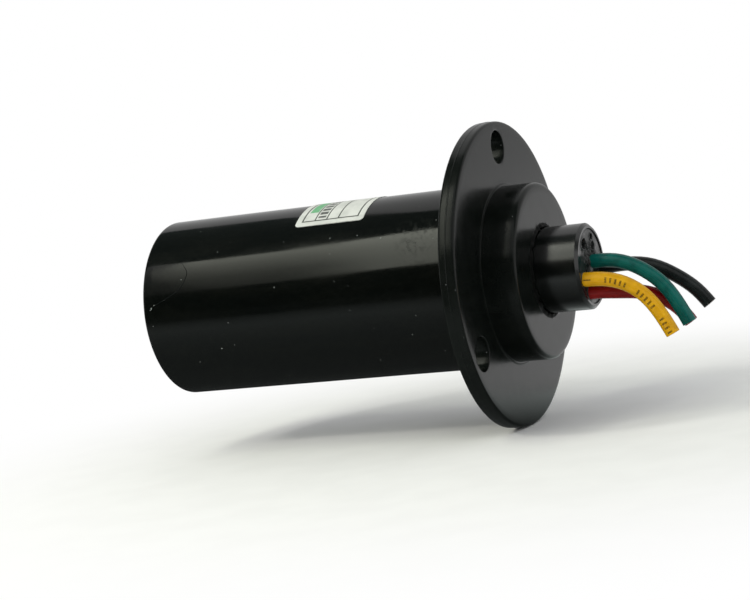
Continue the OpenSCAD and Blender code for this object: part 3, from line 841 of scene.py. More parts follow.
@dataclass(frozen=True)
class PrintedFilm(Finish):
    """White coated film of a label, printed with a frame, cell lines, a green block and plain dashes.

    Attributes:
        width: Size along the barrel, in millimetres.
        height: Size round the barrel, in millimetres.
        inset: Distance of the printed frame from the edge.
        cells: Places of the cell lines along the barrel, from the rear edge.
        edge: Half width of a printed edge, where ink and film blend.
        frame_line: Half width of the frame's line.
        cell_line: Half width of a cell line.
        block: Half width of the green block, its middle round the barrel, and its half height.
        dashes: Half length of a dash, the middle of their column, and its half height.
        dash_pitch: Distance from one dash to the next.
    """

    width: float
    height: float
    inset: float = 1.15
    cells: Point = (3.45, 5.6, 7.75)
    edge: float = 0.025
    frame_line: float = 0.135
    cell_line: float = 0.115
    block: Point = (0.785, 7.4, 3.605)
    dashes: Point = (0.725, 8.0, 6.205)
    dash_pitch: float = 1.3

    def column(self, t: Tree, uv: tuple[Socket, Socket], middle: float, sizes: Point) -> Socket:
        """Mask of an upright box in a cell.

        Args:
            t: The tree.
            uv: Millimetres along the barrel and round it.
            middle: The box's middle along the barrel.
            sizes: Its half width, its middle round the barrel, and its half height.

        Returns:
            The mask.
        """
        half_u, at_v, half_v = sizes
        across = within(t, uv[0], middle, half_u, self.edge)
        return all_of(t, across, within(t, uv[1], at_v, half_v, self.edge))

    def shader(self, t: Tree, place: Socket) -> Socket:
        """Draws the film, then the block, the dashes and the lines in ink on it.

        Args:
            t: The tree.
            place: Object coordinates.

        Returns:
            The shader.
        """
        parts = t.add("SeparateXYZ", (t.add("UVMap", uv_map=SURFACE_UV)[0],))
        uv = tuple(t.add("Math", (parts[k], 1 / MM), operation="MULTIPLY")[0] for k in (0, 1))
        cloud = t.add("TexNoise", {"Vector": place, "Scale": per_mm(2.5), "Detail": 4.0})[0]
        fine = t.add("TexNoise", {"Vector": place, "Scale": per_mm(0.18), "Detail": 2.0})[0]
        # distance outside the frame's rectangle, negative inside
        out = []
        for value, size in zip(uv, (self.width, self.height)):
            off = t.add("Math", (value, size / 2), operation="SUBTRACT")[0]
            away = t.add("Math", (off,), operation="ABSOLUTE")[0]
            out.append(t.add("Math", (away, size / 2 - self.inset), operation="SUBTRACT")[0])
        outside = t.add("Math", tuple(out), operation="MAXIMUM")[0]
        inside = t.add("MapRange", (outside, -2 * self.edge, 2 * self.edge, 1.0, 0.0), **SOFT)[0]
        lines = within(t, outside, 0.0, self.frame_line, self.edge)
        for cell in self.cells:
            line = all_of(t, within(t, uv[0], cell, self.cell_line, self.edge), inside)
            lines = t.add("Math", (lines, line), operation="MAXIMUM")[0]
        block = self.column(t, uv, (self.inset + self.cells[0]) / 2 + 0.1, self.block)
        dashes = all_of(t, within(t, repeated(t, uv[1], self.dash_pitch), 0.5, 0.33, 0.03),
                        self.column(t, uv, (self.cells[0] + self.cells[1]) / 2, self.dashes))
        colour = drift(t, cloud, "#d8dad4", "#c6c9c3")
        # ink sinks into the coating: a fine noise thins it between these two strengths
        for mask, ink, least, most in ((block, "#62ad79", 0.75, 1.0), (dashes, "#232825", 0.65, 0.95),
                                       (lines, "#20251f", 0.95, 0.95)):
            laid = t.add("MapRange", (fine, 0.3, 0.6, least, most), **SOFT)[0]
            colour = t.add("Mix", {0: all_of(t, mask, laid), 6: colour, 7: linear(ink)}, data_type="RGBA")[2]
        rough = t.add("MapRange", (cloud, *MIDDLE, 0.42, 0.55), **SOFT)[0]
        return t.add("BsdfPrincipled", {"Base Color": colour, "Roughness": rough,
                                        "Normal": relief(t, (cloud, 0.012)), "Specular IOR Level": 0.2})[0]


@dataclass(frozen=True)
class GlassEpoxy(Finish):
    """Circuit board: woven glass under green solder mask.

    Attributes:
        weave_mm: Distance from one glass thread to the next.
    """

    weave_mm: float = 0.6

    def shader(self, t: Tree, place: Socket) -> Socket:
        """Draws two crossed sine waves at the spacing of the glass threads, which lift and tint the mask.

        Args:
            t: The tree.
            place: Object coordinates.

        Returns:
            The shader.
        """
        parts = t.add("SeparateXYZ", (place,))
        rate = FULL_TURN / (self.weave_mm * MM)
        turns = [t.add("Math", (parts[k], rate), operation="MULTIPLY")[0] for k in (0, 1)]
        weave = all_of(t, *(t.add("Math", (turn,), operation="SINE")[0] for turn in turns))
        cloud = t.add("TexNoise", {"Vector": place, "Scale": per_mm(3.0), "Detail": 3.0})[0]
        woven = drift(t, weave, "#1a5233", "#226540", -1.0, 1.0)
        colour = drift(t, cloud, woven, "#123f27", 0.4, 0.75, 0.5)
        normal = t.add("Bump", {"Height": weave, "Strength": 0.6, "Distance": 0.01 * MM})[0]
        rough = t.add("MapRange", (cloud, *MIDDLE, 0.28, 0.4), **SOFT)[0]
        return t.add("BsdfPrincipled", {"Base Color": colour, "Roughness": rough, "Normal": normal})[0]


# the barrel is cut from drawn ABS tube: a near mirror with lengthwise waves, handling smears and dust
DRAWN_TUBE = DrawnTube("abs_tube_drawn_gloss_black", "#060807", "#080a08", roughness=0.11, spread=0.035,
                       grain_mm=0.6, grain_depth_mm=0.0012, wave_mm=5.0, wave_depth_mm=0.008, stretch=5.0,
                       specular=0.29, dust=0.1)
# the flange and boss are moulded in a lightly sparked tool: an even satin that greys towards the light
MOULDED_HOUSING = Plastic("glass_filled_nylon_moulded_satin", "#0c0f0d", "#101311", roughness=0.22,
                          spread=0.03, grain_mm=0.22, grain_depth_mm=0.0035, wave_mm=7.0, wave_depth_mm=0.012,
                          specular=0.18, dust=0.25)
# the hub comes from a smoother tool, so its highlights are narrower
MOULDED_HUB = Plastic("acetal_moulded_semi_gloss", "#060807", "#0a0c0b", roughness=0.22, spread=0.04,
                      grain_mm=0.3, grain_depth_mm=0.002, wave_mm=4.0, wave_depth_mm=0.006, stretch=2.0,
                      specular=0.7, dust=0.04)
# resin poured round the leads sets lumpy, with broken small highlights
POTTED_PLUG = Plastic("epoxy_resin_potted_satin", "#121413", "#1d201e", roughness=0.34, spread=0.1,
                      grain_mm=0.38, grain_depth_mm=0.03, wave_mm=1.3, wave_depth_mm=0.03, specular=0.5,
                      dust=0.3)
# the same tool presses the seal flush, so that only its torn lip shows as rubber, matt and painted near black
# as shade in the gap round the hub
SOFT_SEAL = SealRubber("nitrile_rubber_moulded", "#0c0f0d", "#101311", roughness=0.22, spread=0.03,
                       grain_mm=0.22, grain_depth_mm=0.0035, wave_mm=7.0, wave_depth_mm=0.012, specular=0.18)
# glass at the skin makes the frame a flat dark grey
FRAME_NYLON = Plastic("glass_filled_nylon_moulded_dark", "#2b2d2f", "#383b3e", roughness=0.5, grain_mm=0.2,
                      grain_depth_mm=0.006)
# unfilled resin is a warm cream with a dull sheen
BARRIER_RESIN = Plastic("natural_resin_turned", "#c9c0a6", "#b7ad90", roughness=0.42, grain_mm=0.15,
                        grain_depth_mm=0.003)
# a scuff in the tube is torn plastic: dull and a little grey, with no gloss of its own
SCUFF = Plastic("abs_scuffed", "#0a0b0b", "#17191a", roughness=0.8, spread=0.1, grain_mm=0.12,
                grain_depth_mm=0.006, specular=0.1)
# where the scuff tore the surface the plastic is whitened
CHIP = Plastic("abs_stress_whitened", "#7d8380", "#9aa09d", roughness=0.7, spread=0.1, grain_mm=0.1,
               grain_depth_mm=0.01, specular=0.3)
# grinding leaves races with a bright even sheen; lapping leaves the balls mirrors
BEARING_STEEL = Metal("bearing_steel_ground", "#c4c8cc", "#a9adb1", roughness=0.18, line_mm=0.06)
BALL_STEEL = Metal("chrome_steel_lapped", "#d6d9dc", "#c8cbce", roughness=0.06, line_depth_mm=0.0002)
# pressed sheet is a soft yellow, duller where it was drawn
CAGE_BRASS = Metal("brass_sheet_pressed", "#c9a24c", "#a8823a", roughness=0.3)
# oil on spring steel makes it a deep grey; zinc gives screws and washers a pale one
SPRING_STEEL = Metal("spring_steel_oiled", "#7d8185", "#5f6367", roughness=0.32)
ZINC_STEEL = Metal("steel_zinc_plated", "#b9bdc0", "#9a9ea1", roughness=0.28)
# tin is nearly white and a little milky
TINNED_BRASS = Metal("brass_pin_tinned", "#ccced0", "#aeb1b3", roughness=0.3)
# both sides of the contact are gold: pale in the drawn wire, rich and bright on the turned rings
BRUSH_WIRE = Metal("gold_alloy_wire_drawn", "#dfb860", "#c69a45", roughness=0.2, line_mm=0.05)
RING_GOLD = Metal("brass_ring_gold_plated", "#e3b552", "#c99639", roughness=0.16, line_mm=0.05)
# copper is salmon where it is drawn, and duller where it is sheared
ROD_COPPER = Metal("copper_rod_drawn", "#c98a55", "#a96c3c", roughness=0.28)
COPPER_STRAND = Metal("copper_strand_sheared", "#cf8a58", "#a0633a", roughness=0.34, line_mm=0.04)
# solder mask shows the weave of the glass as a faint grid
BOARD = GlassEpoxy("glass_epoxy_board_masked")
# extruded PVC has a waxy sheen in streaks along the lead
GREEN_PVC = Insulation("pvc_extruded_green", "#035c54", "#024b45")
YELLOW_PVC = Insulation("pvc_extruded_yellow", "#d6a000", "#c48f00", Print.TICKS)
RED_PVC = Insulation("pvc_extruded_red", "#7e0d0c", "#6c0809")
BLACK_PVC = Insulation("pvc_extruded_black", "#121515", "#1c2020")


# ---------- camera and studio ----------


@dataclass
class Camera:
    """The camera: where it stands, in millimetres, the axes of its picture, and its lens and sensor."""

    place: Point = (120.037, -304.2, 26.288)
    right: Point = (0.9015, 0.4102, -0.1379)
    up: Point = (0.0899, 0.134, 0.9869)
    lens: float = 96.29
    sensor: float = 36.0
    nearest: float = 0.01
    furthest: float = 20.0

    def build(self) -> None:
        """Makes the camera and gives it to the scene."""
        data = bpy.data.cameras.new("camera")
        data.lens, data.sensor_width = self.lens, self.sensor
        data.clip_start, data.clip_end = self.nearest, self.furthest
        camera = bpy.data.objects.new("camera", data)
        bpy.context.scene.collection.objects.link(camera)
        right = Vector(self.right).normalized()
        back = right.cross(Vector(self.up)).normalized()
        turn = Matrix((right, back.cross(right), back)).transposed().to_4x4()
        camera.matrix_world = Matrix.Translation(Vector(self.place) * MM) @ turn
        bpy.context.scene.camera = camera


@dataclass(frozen=True)
class FloorFinish(Finish):
    """Matt white paper that runs out into an even white, so that it has no edge.

    Attributes:
        runs_out: Where the even white starts and where it is full, for what looks at the floor.
        gloss_runs_out: The same for what is mirrored.
        fibre_mm: Width of the paper's cloudiness.
    """

    runs_out: tuple[float, float] = (42.0, 125.0)
    gloss_runs_out: tuple[float, float] = (20.0, 60.0)
    fibre_mm: float = 9.0

    def shader(self, t: Tree, place: Socket) -> Socket:
        """Draws diffuse paper near the object, and an even white for what sees it further out.

        Args:
            t: The tree.
            place: Object coordinates.

        Returns:
            The shader.
        """
        fibre = t.add("TexNoise", {"Vector": place, "Scale": per_mm(self.fibre_mm), "Detail": 3.0})[0]
        far = t.add("VectorMath", (place,), operation="LENGTH")["Value"]
        path = t.add("LightPath")
        mirrored = t.add("Math", (path["Is Glossy Ray"], path["Is Transmission Ray"]), operation="MAXIMUM")[0]
        shares = []
        for (start, full), ray in ((self.runs_out, path["Is Camera Ray"]), (self.gloss_runs_out, mirrored)):
            away = t.add("MapRange", (far, start * MM, full * MM, 0.0, 1.0), **SOFT)[0]
            shares.append(all_of(t, away, ray))
        share = t.add("Math", tuple(shares), operation="MAXIMUM")[0]
        colour = drift(t, fibre, "#f6f6f4", "#f3f3f1", *MIDDLE)
        paper = t.add("BsdfDiffuse", {"Color": colour})[0]
        white = t.add("Emission", {"Color": (1, 1, 1, 1), "Strength": 1.0})[0]
        return t.add("MixShader", (share, paper, white))[0]


@dataclass(frozen=True)
class CardFinish(Finish):
    """Painted card or thin scrim that only shapes what glossy surfaces mirror.

    Attributes:
        colour: Its paint.
        stops: Pairs of a place and a cover, from 0, clear, to 1, closed. The places are degrees round
            the X axis from the camera's side, or millimetres in front of the axis on a flat card.
        thins: Places along X, in metres, between which a hung scrim loses half its cover.
        flat: Whether it lies on the floor.
        net: What the weave of the net does to red, green and blue.
    """

    colour: str = "#000000"
    stops: tuple[tuple[float, float], ...] = ()
    thins: tuple[float, float] | None = None
    flat: bool = False
    net: Point = (0.94, 1.03, 1.0)

    def cover(self, t: Tree, parts: bpy.types.bpy_prop_collection) -> Socket:
        """Draws how closed the card is at each place.

        Args:
            t: The tree.
            parts: The three Object coordinates.

        Returns:
            The cover, as a colour.
        """
        ahead = t.add("Math", (parts[1], -1.0), operation="MULTIPLY")[0]
        if self.flat:
            at = t.add("Math", (ahead, MM), operation="DIVIDE")[0]
        else:
            turn = t.add("Math", (parts[2], ahead), operation="ARCTAN2")[0]
            at = t.add("Math", (turn,), operation="DEGREES")[0]
        first, last = self.stops[0][0], self.stops[-1][0]
        off = t.add("Math", (at, first), operation="SUBTRACT")[0]
        ramp = t.add("ValToRGB", (t.add("Math", (off, last - first), operation="DIVIDE")[0],))
        band = ramp[0].node.color_ramp
        while len(band.elements) < len(self.stops):
            band.elements.new(0.5)
        for element, (stop, closed) in zip(band.elements, self.stops):
            element.position = (stop - first) / (last - first)
            element.color = (*(closed * part for part in self.net), 1.0)
        return ramp[0]

    def shader(self, t: Tree, place: Socket) -> Socket:
        """Draws an even glow of the paint's colour, clear where the scrim is thin.

        Args:
            t: The tree.
            place: Object coordinates.

        Returns:
            The shader.
        """
        glow = t.add("Emission", {"Color": linear(self.colour), "Strength": 1.0})[0]
        if not self.stops:
            return glow
        parts = t.add("SeparateXYZ", (place,))
        cover = self.cover(t, parts)
        if self.flat:
            return t.add("Emission", {"Color": cover, "Strength": 1.0})[0]
        if self.thins:
            cover = all_of(t, cover, t.add("MapRange", (parts[0], *self.thins, 1.0, 0.5), **SOFT)[0])
        return t.add("MixShader", (cover, t.add("BsdfTransparent")[0], glow))[0]


@dataclass(frozen=True)
class Card:
    """A curved card hung round the X axis.

    Attributes:
        name: Name of the card.
        low: Its lower edge at each of the studio's places along X, in degrees from the camera's side (-Y)
            up to the top (+Z).
        high: Its upper edge there.
        finish: Its paint.
        radius: Its distance from the axis, in millimetres.
        columns: Points from edge to edge.
    """

    name: str
    low: tuple[float, ...]
    high: tuple[float, ...]
    finish: CardFinish
    radius: float = 400.0
    columns: int = 24


@dataclass(frozen=True)
class Lamp:
    """An area lamp that faces the axis.

    Attributes:
        name: Name of the lamp.
        place: Its middle, in millimetres.
        size: Its width and height, in millimetres.
        power: Watts.
        colour: Its colour.
        mirrored: Whether glossy surfaces show it.
        away: The direction that it turns its back to, if not that of its place.
    """

    name: str
    place: Point
    size: tuple[float, float]
    power: float
    colour: Point
    mirrored: bool = False
    away: Point | None = None

    def build(self) -> None:
        """Makes the lamp."""
        data = bpy.data.lights.new(self.name, "AREA")
        data.shape, data.energy, data.color = "RECTANGLE", self.power, self.colour
        data.size, data.size_y = (length * MM for length in self.size)
        lamp = bpy.data.objects.new(self.name, data)
        lamp.location = Vector(self.place) * MM
        lamp.rotation_euler = Vector(self.away or self.place).to_track_quat("Z", "Y").to_euler()
        lamp.visible_camera = False
        lamp.visible_glossy = self.mirrored
        bpy.context.scene.collection.objects.link(lamp)


# white paint greyed to the tone of the bands that a dark room leaves on the barrel
OVERHEAD_PAINT = CardFinish("card_overhead_paint", "#4d5553")
# black paint cuts the light off, and leaves the barrel its dark bands
LEVEL_PAINT = CardFinish("card_level_paint")
# black net fades a band towards its edges
SCRIM_NET = CardFinish("scrim_net", stops=((24.0, 0.9), (40.0, 0.8), (56.0, 0.5), (74.0, 0.0)),
                       thins=(-0.24, -0.187))
BACK_NET = CardFinish("back_scrim_net", stops=((98.0, 0.1), (130.0, 0.35), (205.0, 0.35)))
# the last stops of both low cards, which lie nearest to the camera
NEAR_STOPS = ((25.0, 0.22), (60.0, 0.46), (85.0, 0.34), (130.0, 0.03))
# the low cards' tones stand for the floor and room as glossy surfaces mirror them; near black behind and
# under the object is painted shadow of the object on the floor
BARREL_CARD = CardFinish("card_low_barrel_paint", flat=True,
                         stops=((-260.0, 1.0), (-150.0, 0.0), (-26.0, 0.02), (0.0, 0.06), *NEAR_STOPS))
FRONT_CARD = CardFinish("card_low_front_paint", flat=True,
                        stops=((-34.0, 1.0), (-8.0, 0.3), (4.0, 0.06), *NEAR_STOPS))
# copy paper: matt, warm by a hair, with faint clouds
PAPER = FloorFinish("paper_sweep_matt_white")


@dataclass
class Studio:
    """Floor, world, lamps and the cards that shape what the glossy barrel mirrors.

    Attributes:
        floor_z: Height of the floor.
        floor_size: Its side.
        card_x: Places along X at which the hung cards' edges are given.
        cards: The hung cards.
        low_cards: Name, span along X, far edge along Y and finish of the cards on the floor.
        low_near: Their near edge along Y.
        low_lift: Their height over the floor.
        lamps: The small lamps.
        soft_box: Lower and upper edge of the soft box, in degrees as on a card.
        soft_box_x: Its span along X.
        soft_box_radius: Its distance from the axis.
        soft_box_glow: Its brightness, where 1 is that of an even white.
        soft_box_colour: Its colour.
        world_colour: Colour of the light from all round.
        world_strength: Strength of that light.
    """

    floor_z: float = -25.0
    floor_size: float = 6000.0
    card_x: tuple[float, ...] = (-1400.0, -236.0, -177.0, 700.0)
    cards: tuple[Card, ...] = (
        Card("card_overhead", (65.5, 65.5, 73.5, 73.5), (129.0, 129.0, 104.5, 104.5), OVERHEAD_PAINT),
        Card("card_level", (-3.0,) * 4, (25.0, 25.0, 28.6, 28.6), LEVEL_PAINT),
        Card("scrim", (24.0,) * 4, (84.0,) * 4, SCRIM_NET, 415.0),
        Card("back_scrim", (98.0,) * 4, (205.0,) * 4, BACK_NET, 415.0),
    )
    low_cards: tuple[tuple[str, tuple[float, float], float, CardFinish], ...] = (
        ("card_low_barrel", (-1400.0, 0.0), 260.0, BARREL_CARD),
        ("card_low_front", (0.0, 700.0), 34.0, FRONT_CARD),
    )
    low_near: float = -1400.0
    low_lift: float = 0.2
    lamps: tuple[Lamp, ...] = (
        Lamp("lamp_crisp", (-310.0, -230.0, 232.0), (60.0, 60.0), 0.4, (1.0, 0.97, 0.92)),
        Lamp("lamp_fill", (420.0, -420.0, 300.0), (400.0, 400.0), 0.9, (0.96, 0.98, 1.0)),
    )
    soft_box: tuple[float, float] = (20.0, 80.0)
    soft_box_x: tuple[float, float] = (-318.0, -150.0)
    soft_box_radius: float = 450.0
    soft_box_glow: float = 4.1
    soft_box_colour: Point = (0.965, 1.0, 0.83)
    world_colour: tuple[float, ...] = (0.97, 0.985, 1.0, 1.0)
    world_strength: float = 0.58

    def build(self) -> None:
        """Makes everything that stands round the object."""
        self.world()
        self.floor()
        for card in self.cards:
            self.hang(card)
        for name, span, far_edge, finish in self.low_cards:
            x, y = np.meshgrid(span, [self.low_near, far_edge], indexing="ij")
            points = np.stack([x, y, np.full(x.shape, self.floor_z + self.low_lift)], axis=2)
            self.only_mirrored(name, points.reshape(-1, 3) * MM, grid_quads(2, 2, False, False), finish)
        self.soft_box_lamp()
        for lamp in self.lamps:
            lamp.build()

    def world(self) -> None:
        """Grey world that lights the object, and white where it is seen directly or mirrored."""
        world = bpy.data.worlds.new("studio_world")
        world.use_nodes = True
        bpy.context.scene.world = world
        t = Tree(world.node_tree)
        path = t.add("LightPath")
        mirrored = t.add("Math", (path["Is Glossy Ray"], path["Is Transmission Ray"]), operation="MAXIMUM")[0]
        seen = t.add("Math", (path["Is Camera Ray"], mirrored), operation="MAXIMUM")[0]
        soft = t.add("Background", {"Color": self.world_colour, "Strength": self.world_strength})[0]
        white = t.add("Background", {"Color": (1, 1, 1, 1), "Strength": 1.0})[0]
        t.add("OutputWorld", (t.add("MixShader", (seen, soft, white))[0],))

    def floor(self) -> None:
        """Lays the paper that the object stands on."""
        half = self.floor_size * MM / 2
        mesh = bpy.data.meshes.new("floor")
        corners = [(-half, -half, 0), (half, -half, 0), (half, half, 0), (-half, half, 0)]
        mesh.from_pydata(corners, [], [(0, 1, 2, 3)])
        mesh.materials.append(PAPER.build())
        floor = bpy.data.objects.new("floor", mesh)
        floor.location = (0, 0, self.floor_z * MM)
        bpy.context.scene.collection.objects.link(floor)

    def only_mirrored(self, name: str, points: np.ndarray, quads: np.ndarray, finish: CardFinish) -> None:
        """Makes a sheet that nothing but glossy surfaces see.

        Args:
            name: Name of the sheet.
            points: Rows of x, y, z in metres.
            quads: Four point numbers for each face.
            finish: Its paint.
        """
        mesh = bpy.data.meshes.new(name)
        mesh.from_pydata(points.tolist(), [], quads.tolist())
        mesh.materials.append(finish.build())
        card = bpy.data.objects.new(name, mesh)
        card.visible_camera = card.visible_diffuse = card.visible_shadow = card.visible_transmission = False
        bpy.context.scene.collection.objects.link(card)

    def hang(self, card: Card) -> None:
        """Hangs a card: its point at (x, s) lies at the turn low(x) + s * (high(x) - low(x)).

        Args:
            card: The card.
        """
        low, high = np.array(card.low)[:, None], np.array(card.high)[:, None]
        angle = np.radians(low + (high - low) * np.linspace(0, 1, card.columns))
        points = about_axis(np.array(self.card_x)[:, None], card.radius, angle) * np.array([1, -1, 1])
        quads = grid_quads(*angle.shape, False, False)
        self.only_mirrored(card.name, points.reshape(-1, 3) * MM, quads, card.finish)

    def soft_box_lamp(self) -> None:
        """Hangs the big soft box that makes the long band on the barrel."""
        low, high = (math.radians(a) for a in self.soft_box)
        middle, (x0, x1) = (low + high) / 2, self.soft_box_x
        height = 2 * self.soft_box_radius * math.tan((high - low) / 2)
        away = (0.0, -math.cos(middle), math.sin(middle))
        place = ((x0 + x1) / 2, away[1] * self.soft_box_radius, away[2] * self.soft_box_radius)
        power = self.soft_box_glow * math.pi * height * (x1 - x0) * MM * MM
        Lamp("soft_box", place, (x1 - x0, height), power, self.soft_box_colour, True, away).build()


# ---------- the slip ring's own pieces ----------


def dress(names: tuple[str, ...], finish: Finish) -> None:
    """Gives CAD nodes a finish, and keeps their shape.

    Args:
        names: The nodes.
        finish: Their finish.
    """
    material = finish.build()
    for name in names:
        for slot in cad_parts[name].material_slots:
            slot.material = material
    log.info("%s dressed as %s", ", ".join(names), finish.name)


def settle(piece: bpy.types.Object, finish: Finish, body: Body,
           nodes: tuple[str, ...] = ()) -> bpy.types.Object:
    """Gives a piece its finish and its place in the frame.

    Args:
        piece: The piece.
        finish: Its finish.
        body: The body that it rides on.
        nodes: The CAD nodes that it stands for.

    Returns:
        The piece.
    """
    piece.data.materials.clear()
    piece.data.materials.append(finish.build())
    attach(piece, body.value)
    if nodes:
        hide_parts(*nodes)
    log.info("%s on %s: %d faces", piece.name, body.value, len(piece.data.polygons))
    return piece


@dataclass
class Lead:
    """One lead.

    Attributes:
        colour: Word for its colour, used in names.
        finish: Its insulation.
        route: Points that it passes through in millimetres, from the solder cup to the cut end.
        diameter: Over the insulation.
        core: Over the strands.
        strand: One strand.
        cut: How deep the strands show at the cut end.
        soft: Width of the cut end's soft edge.
        points: Points of the centreline.
        columns: Points round the insulation.
    """

    colour: str
    finish: Insulation
    route: tuple[Point, ...]
    diameter: float = 2.3
    core: float = 1.3
    strand: float = 0.24
    cut: float = 0.5
    soft: float = 0.06
    points: int = 34
    columns: int = 32

    def strands(self, path: np.ndarray) -> bpy.types.Object:
        """Makes the cut copper strands: one in the middle, six and twelve round it, each a soft-ended rod.

        Args:
            path: The lead's centreline.

        Returns:
            One piece that holds all strands.
        """
        end, ahead = path[-1], path[-1] - path[-2]
        ahead = ahead / np.linalg.norm(ahead)
        over = np.cross(ahead, (0, 1, 0))
        over /= np.linalg.norm(over)
        other = np.cross(over, ahead)
        places = [(0.0, 0.0)]
        places += [(self.strand, math.tau * k / 6) for k in range(6)]
        places += [(2 * self.strand, math.tau * (k + 0.5) / 12) for k in range(12)]
        rng = np.random.default_rng(len(self.colour))
        points, quads = [], []
        count = 0
        radii = self.strand / 2 * MM * np.array([0, 1, 1, 0.7, 0])
        for away, turn in places:
            base = end + (other * math.cos(turn) + over * math.sin(turn)) * away * MM
            reach = rng.uniform(-0.18, 0.02) * MM
            line = np.stack([base - ahead * 0.9 * MM, base + ahead * reach])
            p, q, _ = sweep(line, radii, np.array([0, 0, 0.93, 1, 1]), (0, 1, 0), 10)
            points.append(p)
            quads.append(q + count)
            count += len(p)
        piece = make_piece(f"strands_{self.colour}", np.concatenate(points), np.concatenate(quads))
        return settle(piece, COPPER_STRAND, Body.ROTOR)

    def build(self) -> None:
        """Makes the lead: a tube along the route, its cut end a ring of insulation round the strands."""
        path = spline(np.array(self.route, float), self.points) * MM
        last = len(path) - 1
        step = np.linalg.norm(path[-1] - path[-2])
        steps = np.linspace(0, last, 4 * last + 1)
        back = last - self.cut * MM / step
        radius, core, soft = self.diameter / 2 * MM, self.core / 2 * MM, self.soft * MM
        end = [radius - soft, core + soft, core, core, 0]
        radii = np.concatenate([[0], np.full(len(steps), radius), end])
        along = np.concatenate([[0], steps, [last, last, last, back, back]])
        along[len(steps)] = last - soft / step
        points, quads, uv = sweep(path, radii, along, (0, 1, 0), self.columns)
        piece = make_piece(f"lead_{self.colour}_insulation", points, quads, 35, uv)
        settle(piece, self.finish, Body.ROTOR, (f"lead_{self.colour}",))
        self.strands(path)


@dataclass
class Leads:
    """The four leads that leave the hub, each with its route."""

    green: tuple[Point, ...] = (
        (3.5, -2.05, 2.05), (7, -2.05, 2.05), (12.8, 0.3, 0.7), (16.5, 0.3, 0.7), (20.2, 0.3, 0.4),
        (24.1, 0.3, -1.3), (27.3, 0.3, -4.1), (29.4, 0.3, -7.5), (30.8, 0.3, -10.5))
    yellow: tuple[Point, ...] = (
        (3.5, -2.05, -2.05), (7, -2.05, -2.05), (12.8, -4.4, -1.7), (16.5, -4.4, -1.7), (20.3, -4.3, -2.1),
        (24, -4.2, -3.8), (26.7, -4.1, -6.7), (28.3, -4, -9.6), (29.2, -4, -11.5))
    red: tuple[Point, ...] = (
        (3.5, 2.05, -2.05), (6, 2.05, -2.05), (12.8, -2.2, -4), (16.5, -2.2, -4), (20.4, -1, -4.4),
        (23.9, 0.8, -5.1), (27.2, 2.7, -7.1), (29.2, 3.4, -9.3), (30.1, 3.6, -10.8))
    black: tuple[Point, ...] = (
        (3.5, 2.05, 2.05), (7, 2.05, 2.05), (12.8, 4.2, -0.9), (16.5, 4.2, -0.8), (20.5, 4.3, -0.6),
        (24.6, 4.5, -1.3), (28.4, 4.7, -3.4), (31.2, 4.9, -5.8), (33.1, 5, -8.3))

    def build(self) -> None:
        """Makes the leads one by one."""
        Lead("green", GREEN_PVC, self.green).build()
        Lead("yellow", YELLOW_PVC, self.yellow).build()
        Lead("red", RED_PVC, self.red).build()
        Lead("black", BLACK_PVC, self.black).build()


